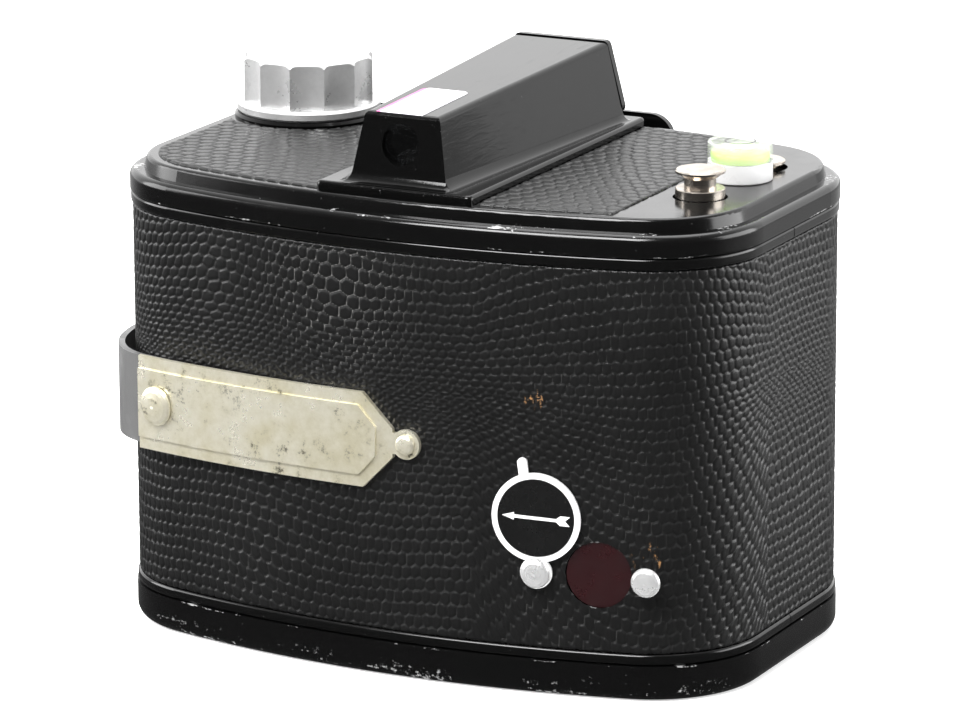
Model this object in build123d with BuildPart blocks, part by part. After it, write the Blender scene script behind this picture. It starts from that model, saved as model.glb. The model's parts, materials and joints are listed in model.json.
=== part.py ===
from build123d import *
from math import asin, cos, degrees, radians, sin, tan
import os

# Box camera for 6 x 9 cm pictures on 120 roll film, in millimetres.
# The origin is on the table, under the middle of the body. +X points to the end with the release
# buttons, +Y to the lens and +Z up. The bowed back, with its red window, faces -Y.
# The case lifts straight up off the base, which carries the film inside.

# Body outline, seen from above: bowed back and front, straight ends and round corners
WIDTH = 128.6
DEPTH = 84.2
HEIGHT = 90.0
BACK_BOW = 192.9
FRONT_BOW = 249.0
CORNER = 22.0

# Heights of the base cap, the case and its beads
BASE_TOP = 6.92
BASE_FLOOR = 1.2
BASE_ROUND = 2.4
BASE_WALL = 5.0
RIM_OUTER = 2.35
RIM_INNER = 3.4
RIM_TOP = 10.2
LEATHER_LOW = 9.1
LEATHER_HIGH = 81.0
CAP_LOW = 83.34
CAP_LEDGE = 87.5
CAP_THICK = 1.0
SHELL_TOP = 86.0

# How far each skin lies inside the outline
BEAD_INSET = 0.15
LEATHER_INSET = 0.45
SHELL_OUTER = 1.05
SHELL_INNER = 2.05
CAP_STEP_INSET = 2.75
CAP_TAPER = 14.0
INLAY_INSET = 5.5
INLAY_THICK = 0.4
INLAY_END = 42.3
CARRIER_INSET = 3.7

# Film carrier
PLATE_THICK = 1.2
TOP_PLATE_LOW = 77.0
TOP_PLATE_HIGH = 78.0
TOP_PLATE_FRONT = 29.4
LENS_Z = 43.5
GATE_WIDTH = 82.0
GATE_HEIGHT = 56.0
GATE_HALF = 44.0
GATE_INNER = 185.2
GATE_OUTER = 186.4
RAIL_OUTER = 187.0
PRESSURE_INNER = 187.5
PRESSURE_OUTER = 188.3
SPOOL_X = 47.5
SPOOL_Y = 20.0
SPOOL_LOW = 10.6
SPOOL_HIGH = 76.4
SPOOL_FLANGE = 12.4
SPOOL_CORE = 6.0
SPOOL_BORE = 2.5
STUD = 2.4
ROLLER_X = 49.5
ROLLER_Y = -25.5
ROLLER = 4.0
ROLLER_PIN = 1.2
END_PLATE_X = 60.2
CONE_WALL = 1.0
CONE_FRONT_Y = 28.5
CONE_REAR_Y = -36.0
END_PLATE_THICK = 0.6
END_PLATE_REAR = -12.0
END_PLATE_FRONT = 13.0
LATCH_REACH = 1.8
LATCH_HALF = 3.0
LATCH_HIGH = 8.0
LATCH_LOWS = (24.0, 60.0)
SCREW_SPOTS = ((50.0, -18.0), (-50.0, -18.0), (27.0, 29.0), (-27.0, 29.0))
SCREW = 1.5
SCREW_HEAD = 2.6
SCREW_SINK = 3.2
SCREW_BOSS = 4.0
SINK_DEPTH = 1.7
TRIPOD_HOLE = 2.6
TRIPOD_DEPTH = 6.0
BUSH_FOOT = 6.0
BUSH_HEAD = 8.0
FLANGE_THICK = 1.0
SPOOL_SEAT = 4.0
KEY_DEPTH = 5.0
KEY_HOLE = 5.0
FILM_SLOT = (18.0, 69.0)
FILM_SLOT_HALF = 0.7
ROLLER_LOW = 8.5
ROLLER_LENGTH = 68.1
RUNNING_GAP = 0.08
CONE_SMALL_END = (18.0, 15.0)
RAIL_WIDTH = 1.5
PRESSURE_LOW = 13.0
PRESSURE_HIGH = 74.0
SPRING_STRIPS = (33.0, 56.0)

# Winding knob
KNOB_FLANGE = 13.9
KNOB_LOW = 91.0
KNOB_FLANGE_TOP = 93.1
KNOB_TOP = 101.7
KNOB_FOOT = 13.3
KNOB_HEAD = 12.8
FLUTES = 12
FLUTE_RADIUS = 8.6
FLUTE_REACH = 20.3
FLUTE_TURN = 26.7
SEAT_RADIUS = 14.4
SPINDLE = 3.0
SQUARE = 5.0
SPINDLE_SQUARE_LOW = 79.0
SPINDLE_COLLAR = 2.4
KNOB_BORE_TOP = 96.0
RATCHET = 9.0
RATCHET_TEETH = 16
RATCHET_LOW = 84.5
RATCHET_THICK = 2.0
RATCHET_HUB = 5.5
RATCHET_HUB_TOP = 88.8
CLICK_X = -37.95
CLICK_POST = (-36.6, 26.0)

# Release and time buttons
BUTTON_X = 50.4
RELEASE_Y = -11.9
TIME_Y = 15.2
BUTTON_TRAVEL = 3.7
BUTTON_HOLE = 5.05
BUTTON_RIM = 4.6
BUTTON_RISE = 5.2
STEM = 1.5
GUIDE_LOW = 84.4
GUIDE_HIGH = 85.4
GUIDE_REAR = -18.0
GUIDE_FRONT = 22.0
SPRING_OUTER = 3.4
SPRING_INNER = 2.8
SPRING_WIRE = 0.5
SPRING_PITCH = 0.95
SPRING_TURNS = 4
ROCKER_X = 33.5
ROCKER_Z = 83.0
ROCKER_HUB = 1.9
ROCKER_SHAFT = 1.0
ROCKER_ARM_Y = 31.2
ROCKER_ARM_END = (24.0, 62.0)
ROCKER_PADDLE = 1.9
BRACKET_REARS = (-7.0, 20.0)
BRACKET_THICK = 2.0

# Bubble level
LEVEL_X = 51.0
LEVEL_Y = 4.5
LEVEL_RADIUS = 6.05
LEVEL_CUP_TOP = 93.6
LEVEL_LIQUID_TOP = 95.7
LEVEL_TOP = 97.2

# Finder
FINDER_X = 0.5
FLANGE_HALF = 16.0
FLANGE_LENGTH = 75.0
FLANGE_TOP = 91.9
FINDER_REAR = -35.4
FINDER_LEAN = 8.8
FINDER_FRONT = 33.0
REAR_FOOT = 10.2
REAR_TOP = 7.6
REAR_Z = 104.8
FRONT_FOOT = 14.0
FRONT_TOP = 9.8
FRONT_Z = 106.8
EYE_RADIUS = 3.8
EYE_Z = 99.3
LABEL_X = -0.3
LABEL_WIDTH = 9.4
LABEL_LENGTH = 19.4
LABEL_CORNER = 1.6
LABEL_THICK = 0.12
LABEL_START = 0.3
EYE_RECESS = 2.4

# Red window and its swinging cover
WINDOW_X = 42.1
WINDOW_Z = 23.7
WINDOW_RADIUS = 6.2
PIVOT_X = 30.65
PIVOT_Z = 23.6
COVER_REACH = 10.4
COVER_RADIUS = 8.4
COVER_FACE = 7.3
COVER_LOBE = 3.0
COVER_LIFT = 0.45
COVER_THICK = 0.6
COVER_FACE_THICK = 0.12
TAB_END = 21.7
TAB_WIDTH = 1.8
TAB_TILT = 7.2
STOP_REACH = 20.9
RIVET_LIFT = 1.3
WINDOW_RIVET = 2.75
WINDOW_SHANK = 1.2

# Strap and its plates
STRAP_Z = 45.3
STRAP_HALF = 8.5
STRAP_THICK = 1.3
STRAP_GAP = 1.35
PLATE_LEFT = -53.8
PLATE_HALF = 9.0
PLATE_METAL = 0.9
PANEL_RISE = 0.45
EAR_X = 5.4
EAR_RADIUS = 2.8
EAR_RIVET = 1.9
FRONT_EAR_SHIFT = -30.8
STRAP_RIVET_X = -48.4
STRAP_RIVET = 3.7

# Lens and shutter
FRONT_PANEL_HALF = 20.0
FRONT_PANEL_LOW = 22.0
FRONT_PANEL_TOP = 91.5
FRONT_PANEL_BACK = 42.2
FRONT_PANEL_FACE = 44.2
BARREL = 12.2
BARREL_BORE = 9.6
FRONT_PANEL_CORNER = 5.0
FRONT_SCREW = 1.0
BEZEL = 17.0
BARREL_REAR = 35.5
BARREL_FRONT = 47.1
LENS_MIDDLE_Y = 39.5
LENS_EDGE = 0.7
LENS_CROWN = 2.3
LENS_DISH = 1.9
RING_BORE = 7.8
SHUTTER_Y = 33.0
SHUTTER_WIDTH = 54.0
SHUTTER_HIGH = 52.0
SHUTTER_MIDDLE_Z = 46.0
PILLAR_X = 23.0
PILLAR_HEIGHTS = (24.0, 68.0)
PILLAR = 2.0
PILLAR_LENGTH = 4.65
APERTURE = 6.5
SECTOR_X = 16.0
SECTOR_Z = 58.0
SECTOR_BLADE = 9.0
SECTOR_EYE = 3.0
SECTOR_PIN = 1.0
PANEL_SCREWS = ((-16.0, 28.0), (16.0, 28.0), (-16.0, 80.0), (16.0, 80.0))

CORNER_X = WIDTH / 2 - CORNER
BACK_CENTRE = BACK_BOW - DEPTH / 2
FRONT_CENTRE = DEPTH / 2 - FRONT_BOW
BACK_SWEEP = degrees(asin(CORNER_X / (BACK_BOW - CORNER)))
FRONT_SWEEP = degrees(asin(CORNER_X / (FRONT_BOW - CORNER)))
BACK_CORNER_Y = BACK_CENTRE - (BACK_BOW - CORNER) * cos(radians(BACK_SWEEP))
FRONT_CORNER_Y = FRONT_CENTRE + (FRONT_BOW - CORNER) * cos(radians(FRONT_SWEEP))
LEATHER_BACK = BACK_BOW - LEATHER_INSET
LEATHER_FRONT = FRONT_BOW - LEATHER_INSET

os.makedirs("parts", exist_ok=True)


def body_outline(inset, mode=Mode.ADD):
    """The body's plan outline, drawn inset all round, as a face of the sketch in hand."""
    with BuildLine() as edge:
        CenterArc((0, BACK_CENTRE), BACK_BOW - inset, 270, BACK_SWEEP)
        CenterArc((CORNER_X, BACK_CORNER_Y), CORNER - inset, 270 + BACK_SWEEP, 90 - BACK_SWEEP)
        Line((WIDTH / 2 - inset, BACK_CORNER_Y), (WIDTH / 2 - inset, FRONT_CORNER_Y))
        CenterArc((CORNER_X, FRONT_CORNER_Y), CORNER - inset, 0, 90 - FRONT_SWEEP)
        CenterArc((0, FRONT_CENTRE), FRONT_BOW - inset, 90 - FRONT_SWEEP, FRONT_SWEEP)
        mirror(about=Plane.YZ)
    make_face(edge.edges(), mode=mode)


def slab(inset, low, high, mode=Mode.ADD):
    """A block with the body's outline, drawn inset, from height low to high."""
    with BuildSketch(Plane.XY.offset(low)) as plan:
        body_outline(inset)
    extrude(plan.sketch, amount=high - low, mode=mode)


def band(outer, inner, low, high):
    """A wall that follows the body's outline between two insets."""
    with BuildSketch(Plane.XY.offset(low)) as plan:
        body_outline(outer)
        body_outline(inner, Mode.SUBTRACT)
    extrude(plan.sketch, amount=high - low)


def bowed_strip(inner, outer, half, low, high):
    """An upright strip that follows the bow of the back, between two radii of that bow."""
    with BuildSketch(Plane.XY.offset(low)) as plan:
        with Locations((0, BACK_CENTRE)):
            Circle(outer)
            Circle(inner, mode=Mode.SUBTRACT)
        with Locations((0, -DEPTH / 2)):
            Rectangle(2 * half, DEPTH, mode=Mode.INTERSECT)
    extrude(plan.sketch, amount=high - low)


def disc(plane, radius, length, mode=Mode.ADD):
    """A round bar that rises from plane."""
    with BuildSketch(plane) as end:
        Circle(radius)
    extrude(end.sketch, amount=length, mode=mode)


def block(x_range, y_range, z_range, mode=Mode.ADD):
    """A box between three pairs of limits."""
    with BuildSketch(Plane.XY.offset(z_range[0])) as plan:
        with Locations((sum(x_range) / 2, sum(y_range) / 2)):
            Rectangle(x_range[1] - x_range[0], y_range[1] - y_range[0])
    extrude(plan.sketch, amount=z_range[1] - z_range[0], mode=mode)


def turn(spot, *profile, mode=Mode.ADD):
    """A turned shape about the axis of the plane spot, from (radius, height) corners."""
    with BuildSketch(Plane(spot.origin, x_dir=spot.x_dir, z_dir=-spot.y_dir)) as half:
        with BuildLine():
            Polyline(*profile, close=True)
        make_face()
    revolve(half.sketch, axis=Axis(spot.origin, spot.z_dir), mode=mode)


def upright(y):
    """A plane square to Y whose own axes are the model's X and Z, facing -Y."""
    return Plane((0, y, 0), x_dir=(1, 0, 0), z_dir=(0, -1, 0))


def spot(x, y, z=0.0):
    """A level plane at a point."""
    return Plane((x, y, z))


def back_plane(x, z, lift=0.0):
    """The plane that touches the leatherette of the bowed back at x, raised by lift."""
    turned = asin(x / LEATHER_BACK)
    out = Vector(sin(turned), -cos(turned), 0)
    origin = Vector(0, BACK_CENTRE, z) + out * (LEATHER_BACK + lift)
    return Plane(origin, x_dir=(cos(turned), sin(turned), 0), z_dir=out)


def front_plane(x, z, lift=0.0):
    """The plane that touches the leatherette of the front at x, raised by lift."""
    turned = asin(x / LEATHER_FRONT)
    out = Vector(sin(turned), cos(turned), 0)
    origin = Vector(0, FRONT_CENTRE, z) + out * (LEATHER_FRONT + lift)
    return Plane(origin, x_dir=(-cos(turned), sin(turned), 0), z_dir=out)


def rivet(plane, head, height, shank, length):
    """A round-headed rivet: its head stands on plane and its shank goes the other way."""
    edge = 0.25 * height
    turn(
        plane,
        (0, -length),
        (shank, -length),
        (shank, 0),
        (head, 0),
        (head, edge),
        (0.93 * head, 0.55 * height),
        (0.75 * head, 0.8 * height),
        (0.45 * head, 0.95 * height),
        (0, height),
    )


def pierce(plane, radius):
    """A round hole through the wall at plane, as long as the wall needs."""
    with BuildSketch(plane) as end:
        Circle(radius)
    extrude(end.sketch, amount=CORNER / 4, both=True, mode=Mode.SUBTRACT)


def on_cover_plane(along, up=0.0, lift=0.0):
    """A plane of the window cover's own face, along and up from its pivot."""
    pivot = back_plane(PIVOT_X, PIVOT_Z, lift)
    return Plane(pivot.from_local_coords((along, up, 0)), x_dir=pivot.x_dir, z_dir=pivot.z_dir)


knob_axis = spot(-SPOOL_X, SPOOL_Y)
release_axis = spot(BUTTON_X, RELEASE_Y)
time_axis = spot(BUTTON_X, TIME_Y)
lens_axis = Plane((0, 0, LENS_Z), x_dir=(1, 0, 0), z_dir=(0, 1, 0))
strap_rivet_plane = back_plane(STRAP_RIVET_X, STRAP_Z, 3.17)
front_strap_rivet_plane = front_plane(STRAP_RIVET_X, STRAP_Z, 3.25)
ear_plane = back_plane(EAR_X, STRAP_Z, 1.05)
front_ear_plane = front_plane(EAR_X + FRONT_EAR_SHIFT, STRAP_Z, 1.35)
SKIN_HOLES = (
    (back_plane(WINDOW_X, WINDOW_Z), WINDOW_RADIUS),
    (on_cover_plane(0), WINDOW_SHANK),
    (on_cover_plane(STOP_REACH), WINDOW_SHANK),
    (strap_rivet_plane, SCREW),
    (front_strap_rivet_plane, SCREW),
    (ear_plane, 1.0),
    (front_ear_plane, 1.0),
)

# ---------------------------------------------------------------- base and film carrier

with BuildPart() as base_cap:
    slab(0, 0, BASE_TOP)
    fillet(base_cap.edges().group_by(Axis.Z)[0], BASE_ROUND)
    slab(BASE_WALL, BASE_FLOOR, BASE_TOP, Mode.SUBTRACT)
    band(RIM_OUTER, RIM_INNER, BASE_TOP, RIM_TOP)
    for x, y in SCREW_SPOTS:
        disc(spot(x, y, BASE_FLOOR), SCREW_BOSS, BASE_TOP - BASE_FLOOR)
    for x, y in SCREW_SPOTS:
        turn(
            spot(x, y),
            (0, 0),
            (SCREW_SINK, 0),
            (SCREW, SINK_DEPTH),
            (SCREW, BASE_TOP),
            (0, BASE_TOP),
            mode=Mode.SUBTRACT,
        )
    disc(spot(0, 0), BUSH_FOOT, BASE_FLOOR, Mode.SUBTRACT)
base_cap.part.label = "base_cap"
export_step(base_cap.part, "parts/base_cap.step")

with BuildPart() as tripod_bush:
    disc(spot(0, 0), BUSH_FOOT, BASE_FLOOR)
    disc(spot(0, 0, BASE_FLOOR), BUSH_HEAD, BASE_TOP - BASE_FLOOR)
    disc(spot(0, 0), TRIPOD_HOLE, TRIPOD_DEPTH, Mode.SUBTRACT)
tripod_bush.part.label = "tripod_bush"
export_step(tripod_bush.part, "parts/tripod_bush.step")

with BuildPart() as base_screws:
    for x, y in SCREW_SPOTS:
        top = BASE_TOP + PLATE_THICK - 0.12
        turn(spot(x, y), (0, 0.3), (SCREW_HEAD, 0.3), (SCREW, SINK_DEPTH), (SCREW, top), (0, top))
        block((x - 0.3, x + 0.3), (y - 2.0, y + 2.0), (0.2, 0.9), Mode.SUBTRACT)
base_screws.part.label = "base_screws"
export_step(base_screws.part, "parts/base_screws.step")

with BuildPart() as carrier_bottom_plate:
    slab(CARRIER_INSET, BASE_TOP, BASE_TOP + PLATE_THICK)
    for x, y in SCREW_SPOTS:
        disc(spot(x, y, BASE_TOP), SCREW, PLATE_THICK, Mode.SUBTRACT)
    for side in (-1, 1):
        disc(spot(side * SPOOL_X, SPOOL_Y, BASE_TOP), STUD, PLATE_THICK, Mode.SUBTRACT)
carrier_bottom_plate.part.label = "carrier_bottom_plate"
export_step(carrier_bottom_plate.part, "parts/carrier_bottom_plate.step")

with BuildPart() as carrier_top_plate:
    slab(CARRIER_INSET, TOP_PLATE_LOW, TOP_PLATE_HIGH)
    with BuildSketch(Plane.XY.offset(TOP_PLATE_LOW)):
        with Locations((0, BACK_CENTRE)):
            Circle(GATE_OUTER)
    extrude(amount=TOP_PLATE_HIGH - TOP_PLATE_LOW, mode=Mode.INTERSECT)
    block((-36.5, 36.5), (TOP_PLATE_FRONT, DEPTH / 2), (TOP_PLATE_LOW, TOP_PLATE_HIGH), Mode.SUBTRACT)
    disc(spot(-SPOOL_X, SPOOL_Y), KEY_HOLE, HEIGHT, Mode.SUBTRACT)
    disc(spot(SPOOL_X, SPOOL_Y), STUD, HEIGHT, Mode.SUBTRACT)
carrier_top_plate.part.label = "carrier_top_plate"
export_step(carrier_top_plate.part, "parts/carrier_top_plate.step")

with BuildPart() as carrier_end_plates:
    for side in (-1, 1):
        plate = sorted((side * END_PLATE_X, side * (END_PLATE_X + END_PLATE_THICK)))
        latch = sorted((side * END_PLATE_X, side * (END_PLATE_X + LATCH_REACH)))
        block(plate, (END_PLATE_REAR, END_PLATE_FRONT), (BASE_TOP + PLATE_THICK, TOP_PLATE_LOW))
        for z in LATCH_LOWS:
            block(latch, (-LATCH_HALF, LATCH_HALF), (z, z + LATCH_HIGH))
carrier_end_plates.part.label = "carrier_end_plates"
export_step(carrier_end_plates.part, "parts/carrier_end_plates.step")

with BuildPart() as light_cone:
    for wall, mode in ((CONE_WALL, Mode.ADD), (0.0, Mode.SUBTRACT)):
        with BuildSketch(upright(CONE_FRONT_Y)) as small_end:
            with Locations((0, LENS_Z)):
                Rectangle(*[side + 2 * wall for side in CONE_SMALL_END])
        with BuildSketch(upright(CONE_REAR_Y)) as large_end:
            with Locations((0, LENS_Z)):
                Rectangle(GATE_WIDTH + 2 * wall, GATE_HEIGHT + 2 * wall)
        loft([small_end.sketch.face(), large_end.sketch.face()], mode=mode)
    with BuildSketch(Plane.XY) as inside_bow:
        with Locations((0, BACK_CENTRE)):
            Circle(GATE_INNER)
    extrude(inside_bow.sketch, amount=HEIGHT, mode=Mode.INTERSECT)
light_cone.part.label = "light_cone"
export_step(light_cone.part, "parts/light_cone.step")

with BuildPart() as film_gate:
    bowed_strip(GATE_INNER, GATE_OUTER, GATE_HALF, BASE_TOP + PLATE_THICK, TOP_PLATE_LOW)
    half_high = GATE_HEIGHT / 2
    for z in (LENS_Z - half_high - RAIL_WIDTH - 1.0, LENS_Z + half_high + 1.0):
        bowed_strip(GATE_OUTER, RAIL_OUTER, GATE_HALF, z, z + RAIL_WIDTH)
    block(
        (-GATE_WIDTH / 2, GATE_WIDTH / 2),
        (-DEPTH / 2, 0),
        (LENS_Z - half_high, LENS_Z + half_high),
        Mode.SUBTRACT,
    )
film_gate.part.label = "film_gate"
export_step(film_gate.part, "parts/film_gate.step")

with BuildPart() as spool_studs:
    for side in (-1, 1):
        disc(spot(side * SPOOL_X, SPOOL_Y, BASE_TOP), STUD, SPOOL_LOW + 3.0 - BASE_TOP)
        disc(spot(side * SPOOL_X, SPOOL_Y, BASE_TOP + PLATE_THICK), SPOOL_SEAT, 2.2)
    disc(spot(SPOOL_X, SPOOL_Y, SPOOL_HIGH - 3.0), STUD, TOP_PLATE_HIGH - SPOOL_HIGH + 3.0)
spool_studs.part.label = "spool_studs"
export_step(spool_studs.part, "parts/spool_studs.step")


def spool_body(side):
    """A film spool standing on its stud: core, two flanges and a bore in each end."""
    axis = spot(side * SPOOL_X, SPOOL_Y)
    turn(
        axis,
        (0, SPOOL_LOW),
        (SPOOL_FLANGE, SPOOL_LOW),
        (SPOOL_FLANGE, SPOOL_LOW + FLANGE_THICK),
        (SPOOL_CORE, SPOOL_LOW + 1.4 * FLANGE_THICK),
        (SPOOL_CORE, SPOOL_HIGH - 1.4 * FLANGE_THICK),
        (SPOOL_FLANGE, SPOOL_HIGH - FLANGE_THICK),
        (SPOOL_FLANGE, SPOOL_HIGH),
        (0, SPOOL_HIGH),
    )
    disc(spot(side * SPOOL_X, SPOOL_Y, SPOOL_LOW), SPOOL_BORE, KEY_DEPTH, Mode.SUBTRACT)
    disc(spot(side * SPOOL_X, SPOOL_Y, SPOOL_HIGH - KEY_DEPTH), SPOOL_BORE, KEY_DEPTH, Mode.SUBTRACT)
    slot_x = (side * SPOOL_X - FILM_SLOT_HALF, side * SPOOL_X + FILM_SLOT_HALF)
    block(slot_x, (SPOOL_Y - SPOOL_CORE - 1.0, SPOOL_Y + SPOOL_CORE + 1.0), FILM_SLOT, Mode.SUBTRACT)


with BuildPart() as take_up_spool:
    spool_body(-1)
    block(
        (-SPOOL_X - 3.5, -SPOOL_X + 3.5),
        (SPOOL_Y - 1.0, SPOOL_Y + 1.0),
        (SPOOL_HIGH - KEY_DEPTH, SPOOL_HIGH),
        Mode.SUBTRACT,
    )
take_up_spool.part.label = "take_up_spool"
export_step(take_up_spool.part, "parts/take_up_spool.step")

with BuildPart() as supply_spool:
    spool_body(1)
supply_spool.part.label = "supply_spool"
export_step(supply_spool.part, "parts/supply_spool.step")

with BuildPart() as roller_pins:
    for side in (-1, 1):
        low = BASE_TOP + PLATE_THICK
        disc(spot(side * ROLLER_X, ROLLER_Y, low), ROLLER_PIN, TOP_PLATE_LOW - low)
roller_pins.part.label = "roller_pins"
export_step(roller_pins.part, "parts/roller_pins.step")


def roller(side):
    """A guide roller on its pin."""
    foot = spot(side * ROLLER_X, ROLLER_Y, ROLLER_LOW)
    disc(foot, ROLLER, ROLLER_LENGTH)
    disc(foot, ROLLER_PIN + RUNNING_GAP, ROLLER_LENGTH, Mode.SUBTRACT)


with BuildPart() as guide_roller_left:
    roller(-1)
guide_roller_left.part.label = "guide_roller_left"
export_step(guide_roller_left.part, "parts/guide_roller_left.step")

with BuildPart() as guide_roller_right:
    roller(1)
guide_roller_right.part.label = "guide_roller_right"
export_step(guide_roller_right.part, "parts/guide_roller_right.step")

# ---------------------------------------------------------------- case

with BuildPart() as body_shell:
    slab(BEAD_INSET, BASE_TOP, LEATHER_LOW)
    slab(BEAD_INSET, LEATHER_HIGH, CAP_LOW)
    fillet(body_shell.edges().filter_by(Plane.XY), 0.7)
    slab(SHELL_OUTER, BASE_TOP, SHELL_TOP)
    slab(SHELL_INNER, BASE_TOP, SHELL_TOP, Mode.SUBTRACT)
    for low, high in ((BASE_TOP, LEATHER_LOW), (LEATHER_HIGH, CAP_LOW)):
        block((WIDTH / 2 - 0.5, WIDTH / 2), (-0.5, -0.2), (low, high), Mode.SUBTRACT)
    for plane, radius in SKIN_HOLES:
        pierce(plane, radius)
    pierce(front_plane(0, LENS_Z), BARREL + 0.05)
body_shell.part.label = "body_shell"
export_step(body_shell.part, "parts/body_shell.step")

with BuildPart() as body_leatherette:
    band(LEATHER_INSET, SHELL_OUTER, LEATHER_LOW, LEATHER_HIGH)
    for plane, radius in SKIN_HOLES:
        pierce(plane, radius)
    pierce(front_plane(0, LENS_Z), BEZEL + 0.2)
body_leatherette.part.label = "body_leatherette"
export_step(body_leatherette.part, "parts/body_leatherette.step")

with BuildPart() as top_cap:
    slab(0, CAP_LOW, CAP_LEDGE)
    fillet(top_cap.edges().group_by(Axis.Z)[-1], 1.4)
    fillet(top_cap.edges().group_by(Axis.Z)[0], 0.4)
    with BuildSketch(Plane.XY.offset(CAP_LEDGE)) as step:
        body_outline(CAP_STEP_INSET)
    extrude(step.sketch, amount=HEIGHT - CAP_LEDGE, taper=CAP_TAPER)
    fillet(top_cap.edges().group_by(Axis.Z)[-1], 0.8)
    slab(CAP_THICK, CAP_LOW, SHELL_TOP + 0.5, Mode.SUBTRACT)
    slab(CAP_STEP_INSET + CAP_THICK + 0.3, CAP_LOW, HEIGHT - CAP_THICK, Mode.SUBTRACT)
    for axis in (release_axis, time_axis):
        disc(axis, BUTTON_HOLE, HEIGHT, Mode.SUBTRACT)
    disc(knob_axis, SPINDLE + 0.75, HEIGHT, Mode.SUBTRACT)
top_cap.part.label = "top_cap"
export_step(top_cap.part, "parts/top_cap.step")

with BuildPart() as top_inlay:
    with BuildSketch(Plane.XY.offset(HEIGHT)):
        body_outline(INLAY_INSET)
        with Locations(((INLAY_END - WIDTH) / 2, 0)):
            Rectangle(WIDTH + INLAY_END, DEPTH, mode=Mode.INTERSECT)
        with Locations((-SPOOL_X, SPOOL_Y)):
            Circle(SEAT_RADIUS + 1.4, mode=Mode.SUBTRACT)
        with Locations((FINDER_X, 0)):
            Rectangle(2 * FLANGE_HALF + 0.2, DEPTH, mode=Mode.SUBTRACT)
    extrude(amount=INLAY_THICK)
top_inlay.part.label = "top_inlay"
export_step(top_inlay.part, "parts/top_inlay.step")

with BuildPart() as pressure_plate:
    bowed_strip(PRESSURE_INNER, PRESSURE_OUTER, GATE_HALF - 1.0, PRESSURE_LOW, PRESSURE_HIGH)
    pierce(back_plane(WINDOW_X, WINDOW_Z), WINDOW_RADIUS + 0.8)
pressure_plate.part.label = "pressure_plate"
export_step(pressure_plate.part, "parts/pressure_plate.step")

with BuildPart() as pressure_springs:
    for z in SPRING_STRIPS:
        bowed_strip(PRESSURE_OUTER + 1.0, PRESSURE_OUTER + 1.4, 24.0, z - 3.0, z + 3.0)
        bowed_strip(PRESSURE_OUTER, PRESSURE_OUTER + 1.2, 2.5, z - 2.0, z + 2.0)
        for x in (-22.0, 22.0):
            disc(back_plane(x, z, -1.65), 1.5, -1.7)
pressure_springs.part.label = "pressure_springs"
export_step(pressure_springs.part, "parts/pressure_springs.step")

with BuildPart() as red_window_pane:
    disc(back_plane(WINDOW_X, WINDOW_Z, -1.55), WINDOW_RADIUS, 1.2)
red_window_pane.part.label = "red_window_pane"
export_step(red_window_pane.part, "parts/red_window_pane.step")

with BuildPart() as window_cover:
    with BuildSketch(on_cover_plane(0, 0, COVER_LIFT)):
        Circle(COVER_LOBE)
        with Locations((0, COVER_REACH)):
            Circle(COVER_RADIUS)
            Rectangle(2 * COVER_LOBE, COVER_RADIUS)
        with PolarLocations(TAB_END / 2, 1, 90 + TAB_TILT):
            SlotOverall(TAB_END, TAB_WIDTH)
        Circle(WINDOW_SHANK + 0.06, mode=Mode.SUBTRACT)
    extrude(amount=COVER_THICK)
window_cover.part.label = "window_cover"
export_step(window_cover.part, "parts/window_cover.step")

with BuildPart() as window_cover_face:
    disc(on_cover_plane(0, COVER_REACH, COVER_LIFT + COVER_THICK), COVER_FACE, COVER_FACE_THICK)
window_cover_face.part.label = "window_cover_face"
export_step(window_cover_face.part, "parts/window_cover_face.step")

with BuildPart() as window_rivets:
    for along in (0, STOP_REACH):
        rivet(on_cover_plane(along, 0, RIVET_LIFT), WINDOW_RIVET, 1.2, WINDOW_SHANK, 4.0)
window_rivets.part.label = "window_rivets"
export_step(window_rivets.part, "parts/window_rivets.step")


def strap_plate(touch, shift, bulge):
    """A nickel strap plate: touch(x, z, lift) gives the plane that follows its side of the body.
    Its riveted end is moved by shift, and bulge is how far its middle stands off the skin."""
    ear_end = EAR_X + EAR_RADIUS + shift
    middle = (PLATE_LEFT + ear_end) / 2
    lifts = ((ear_end, 0.05), (middle, bulge), (PLATE_LEFT, 2.0))
    for rise, part_thick, trim in ((0.0, PLATE_METAL, 0.0), (PLATE_METAL, PANEL_RISE, 2.4)):
        under = [touch(x, 0, lift + rise).origin for x, lift in lifts]
        over = [touch(x, 0, lift + rise + part_thick).origin for x, lift in lifts]
        with BuildSketch(Plane.XY.offset(STRAP_Z - PLATE_HALF)) as plan:
            with BuildLine():
                ThreePointArc(*[(p.X, p.Y) for p in under])
                Line((under[2].X, under[2].Y), (over[2].X, over[2].Y))
                ThreePointArc(*[(p.X, p.Y) for p in over])
                Line((over[0].X, over[0].Y), (under[0].X, under[0].Y))
            make_face()
        with BuildSketch(Plane((0, 0, STRAP_Z), x_dir=(1, 0, 0), z_dir=(0, -1, 0))) as view:
            half = PLATE_HALF - trim
            shoulder = -3.4 - 0.3 * trim + shift
            tip = 2.8 - 1.4 * trim + shift
            with BuildLine():
                Polyline(
                    (PLATE_LEFT, -half),
                    (shoulder, -half),
                    (tip, -2.7),
                    (tip, 2.7),
                    (shoulder, half),
                    (PLATE_LEFT, half),
                    close=True,
                )
            make_face()
            if trim == 0.0:
                with Locations((EAR_X + shift, 0)):
                    Circle(EAR_RADIUS)
                with Locations((tip, 0)):
                    Rectangle(2 * EAR_RADIUS, 4.0)
        curved = extrude(plan.sketch, amount=2 * PLATE_HALF, mode=Mode.PRIVATE)
        flat = extrude(view.sketch, amount=DEPTH, both=True, mode=Mode.PRIVATE)
        add(curved & flat)
    pierce(touch(STRAP_RIVET_X, STRAP_Z, 2.0), SCREW)
    pierce(touch(EAR_X + shift, STRAP_Z), 1.0)


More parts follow.
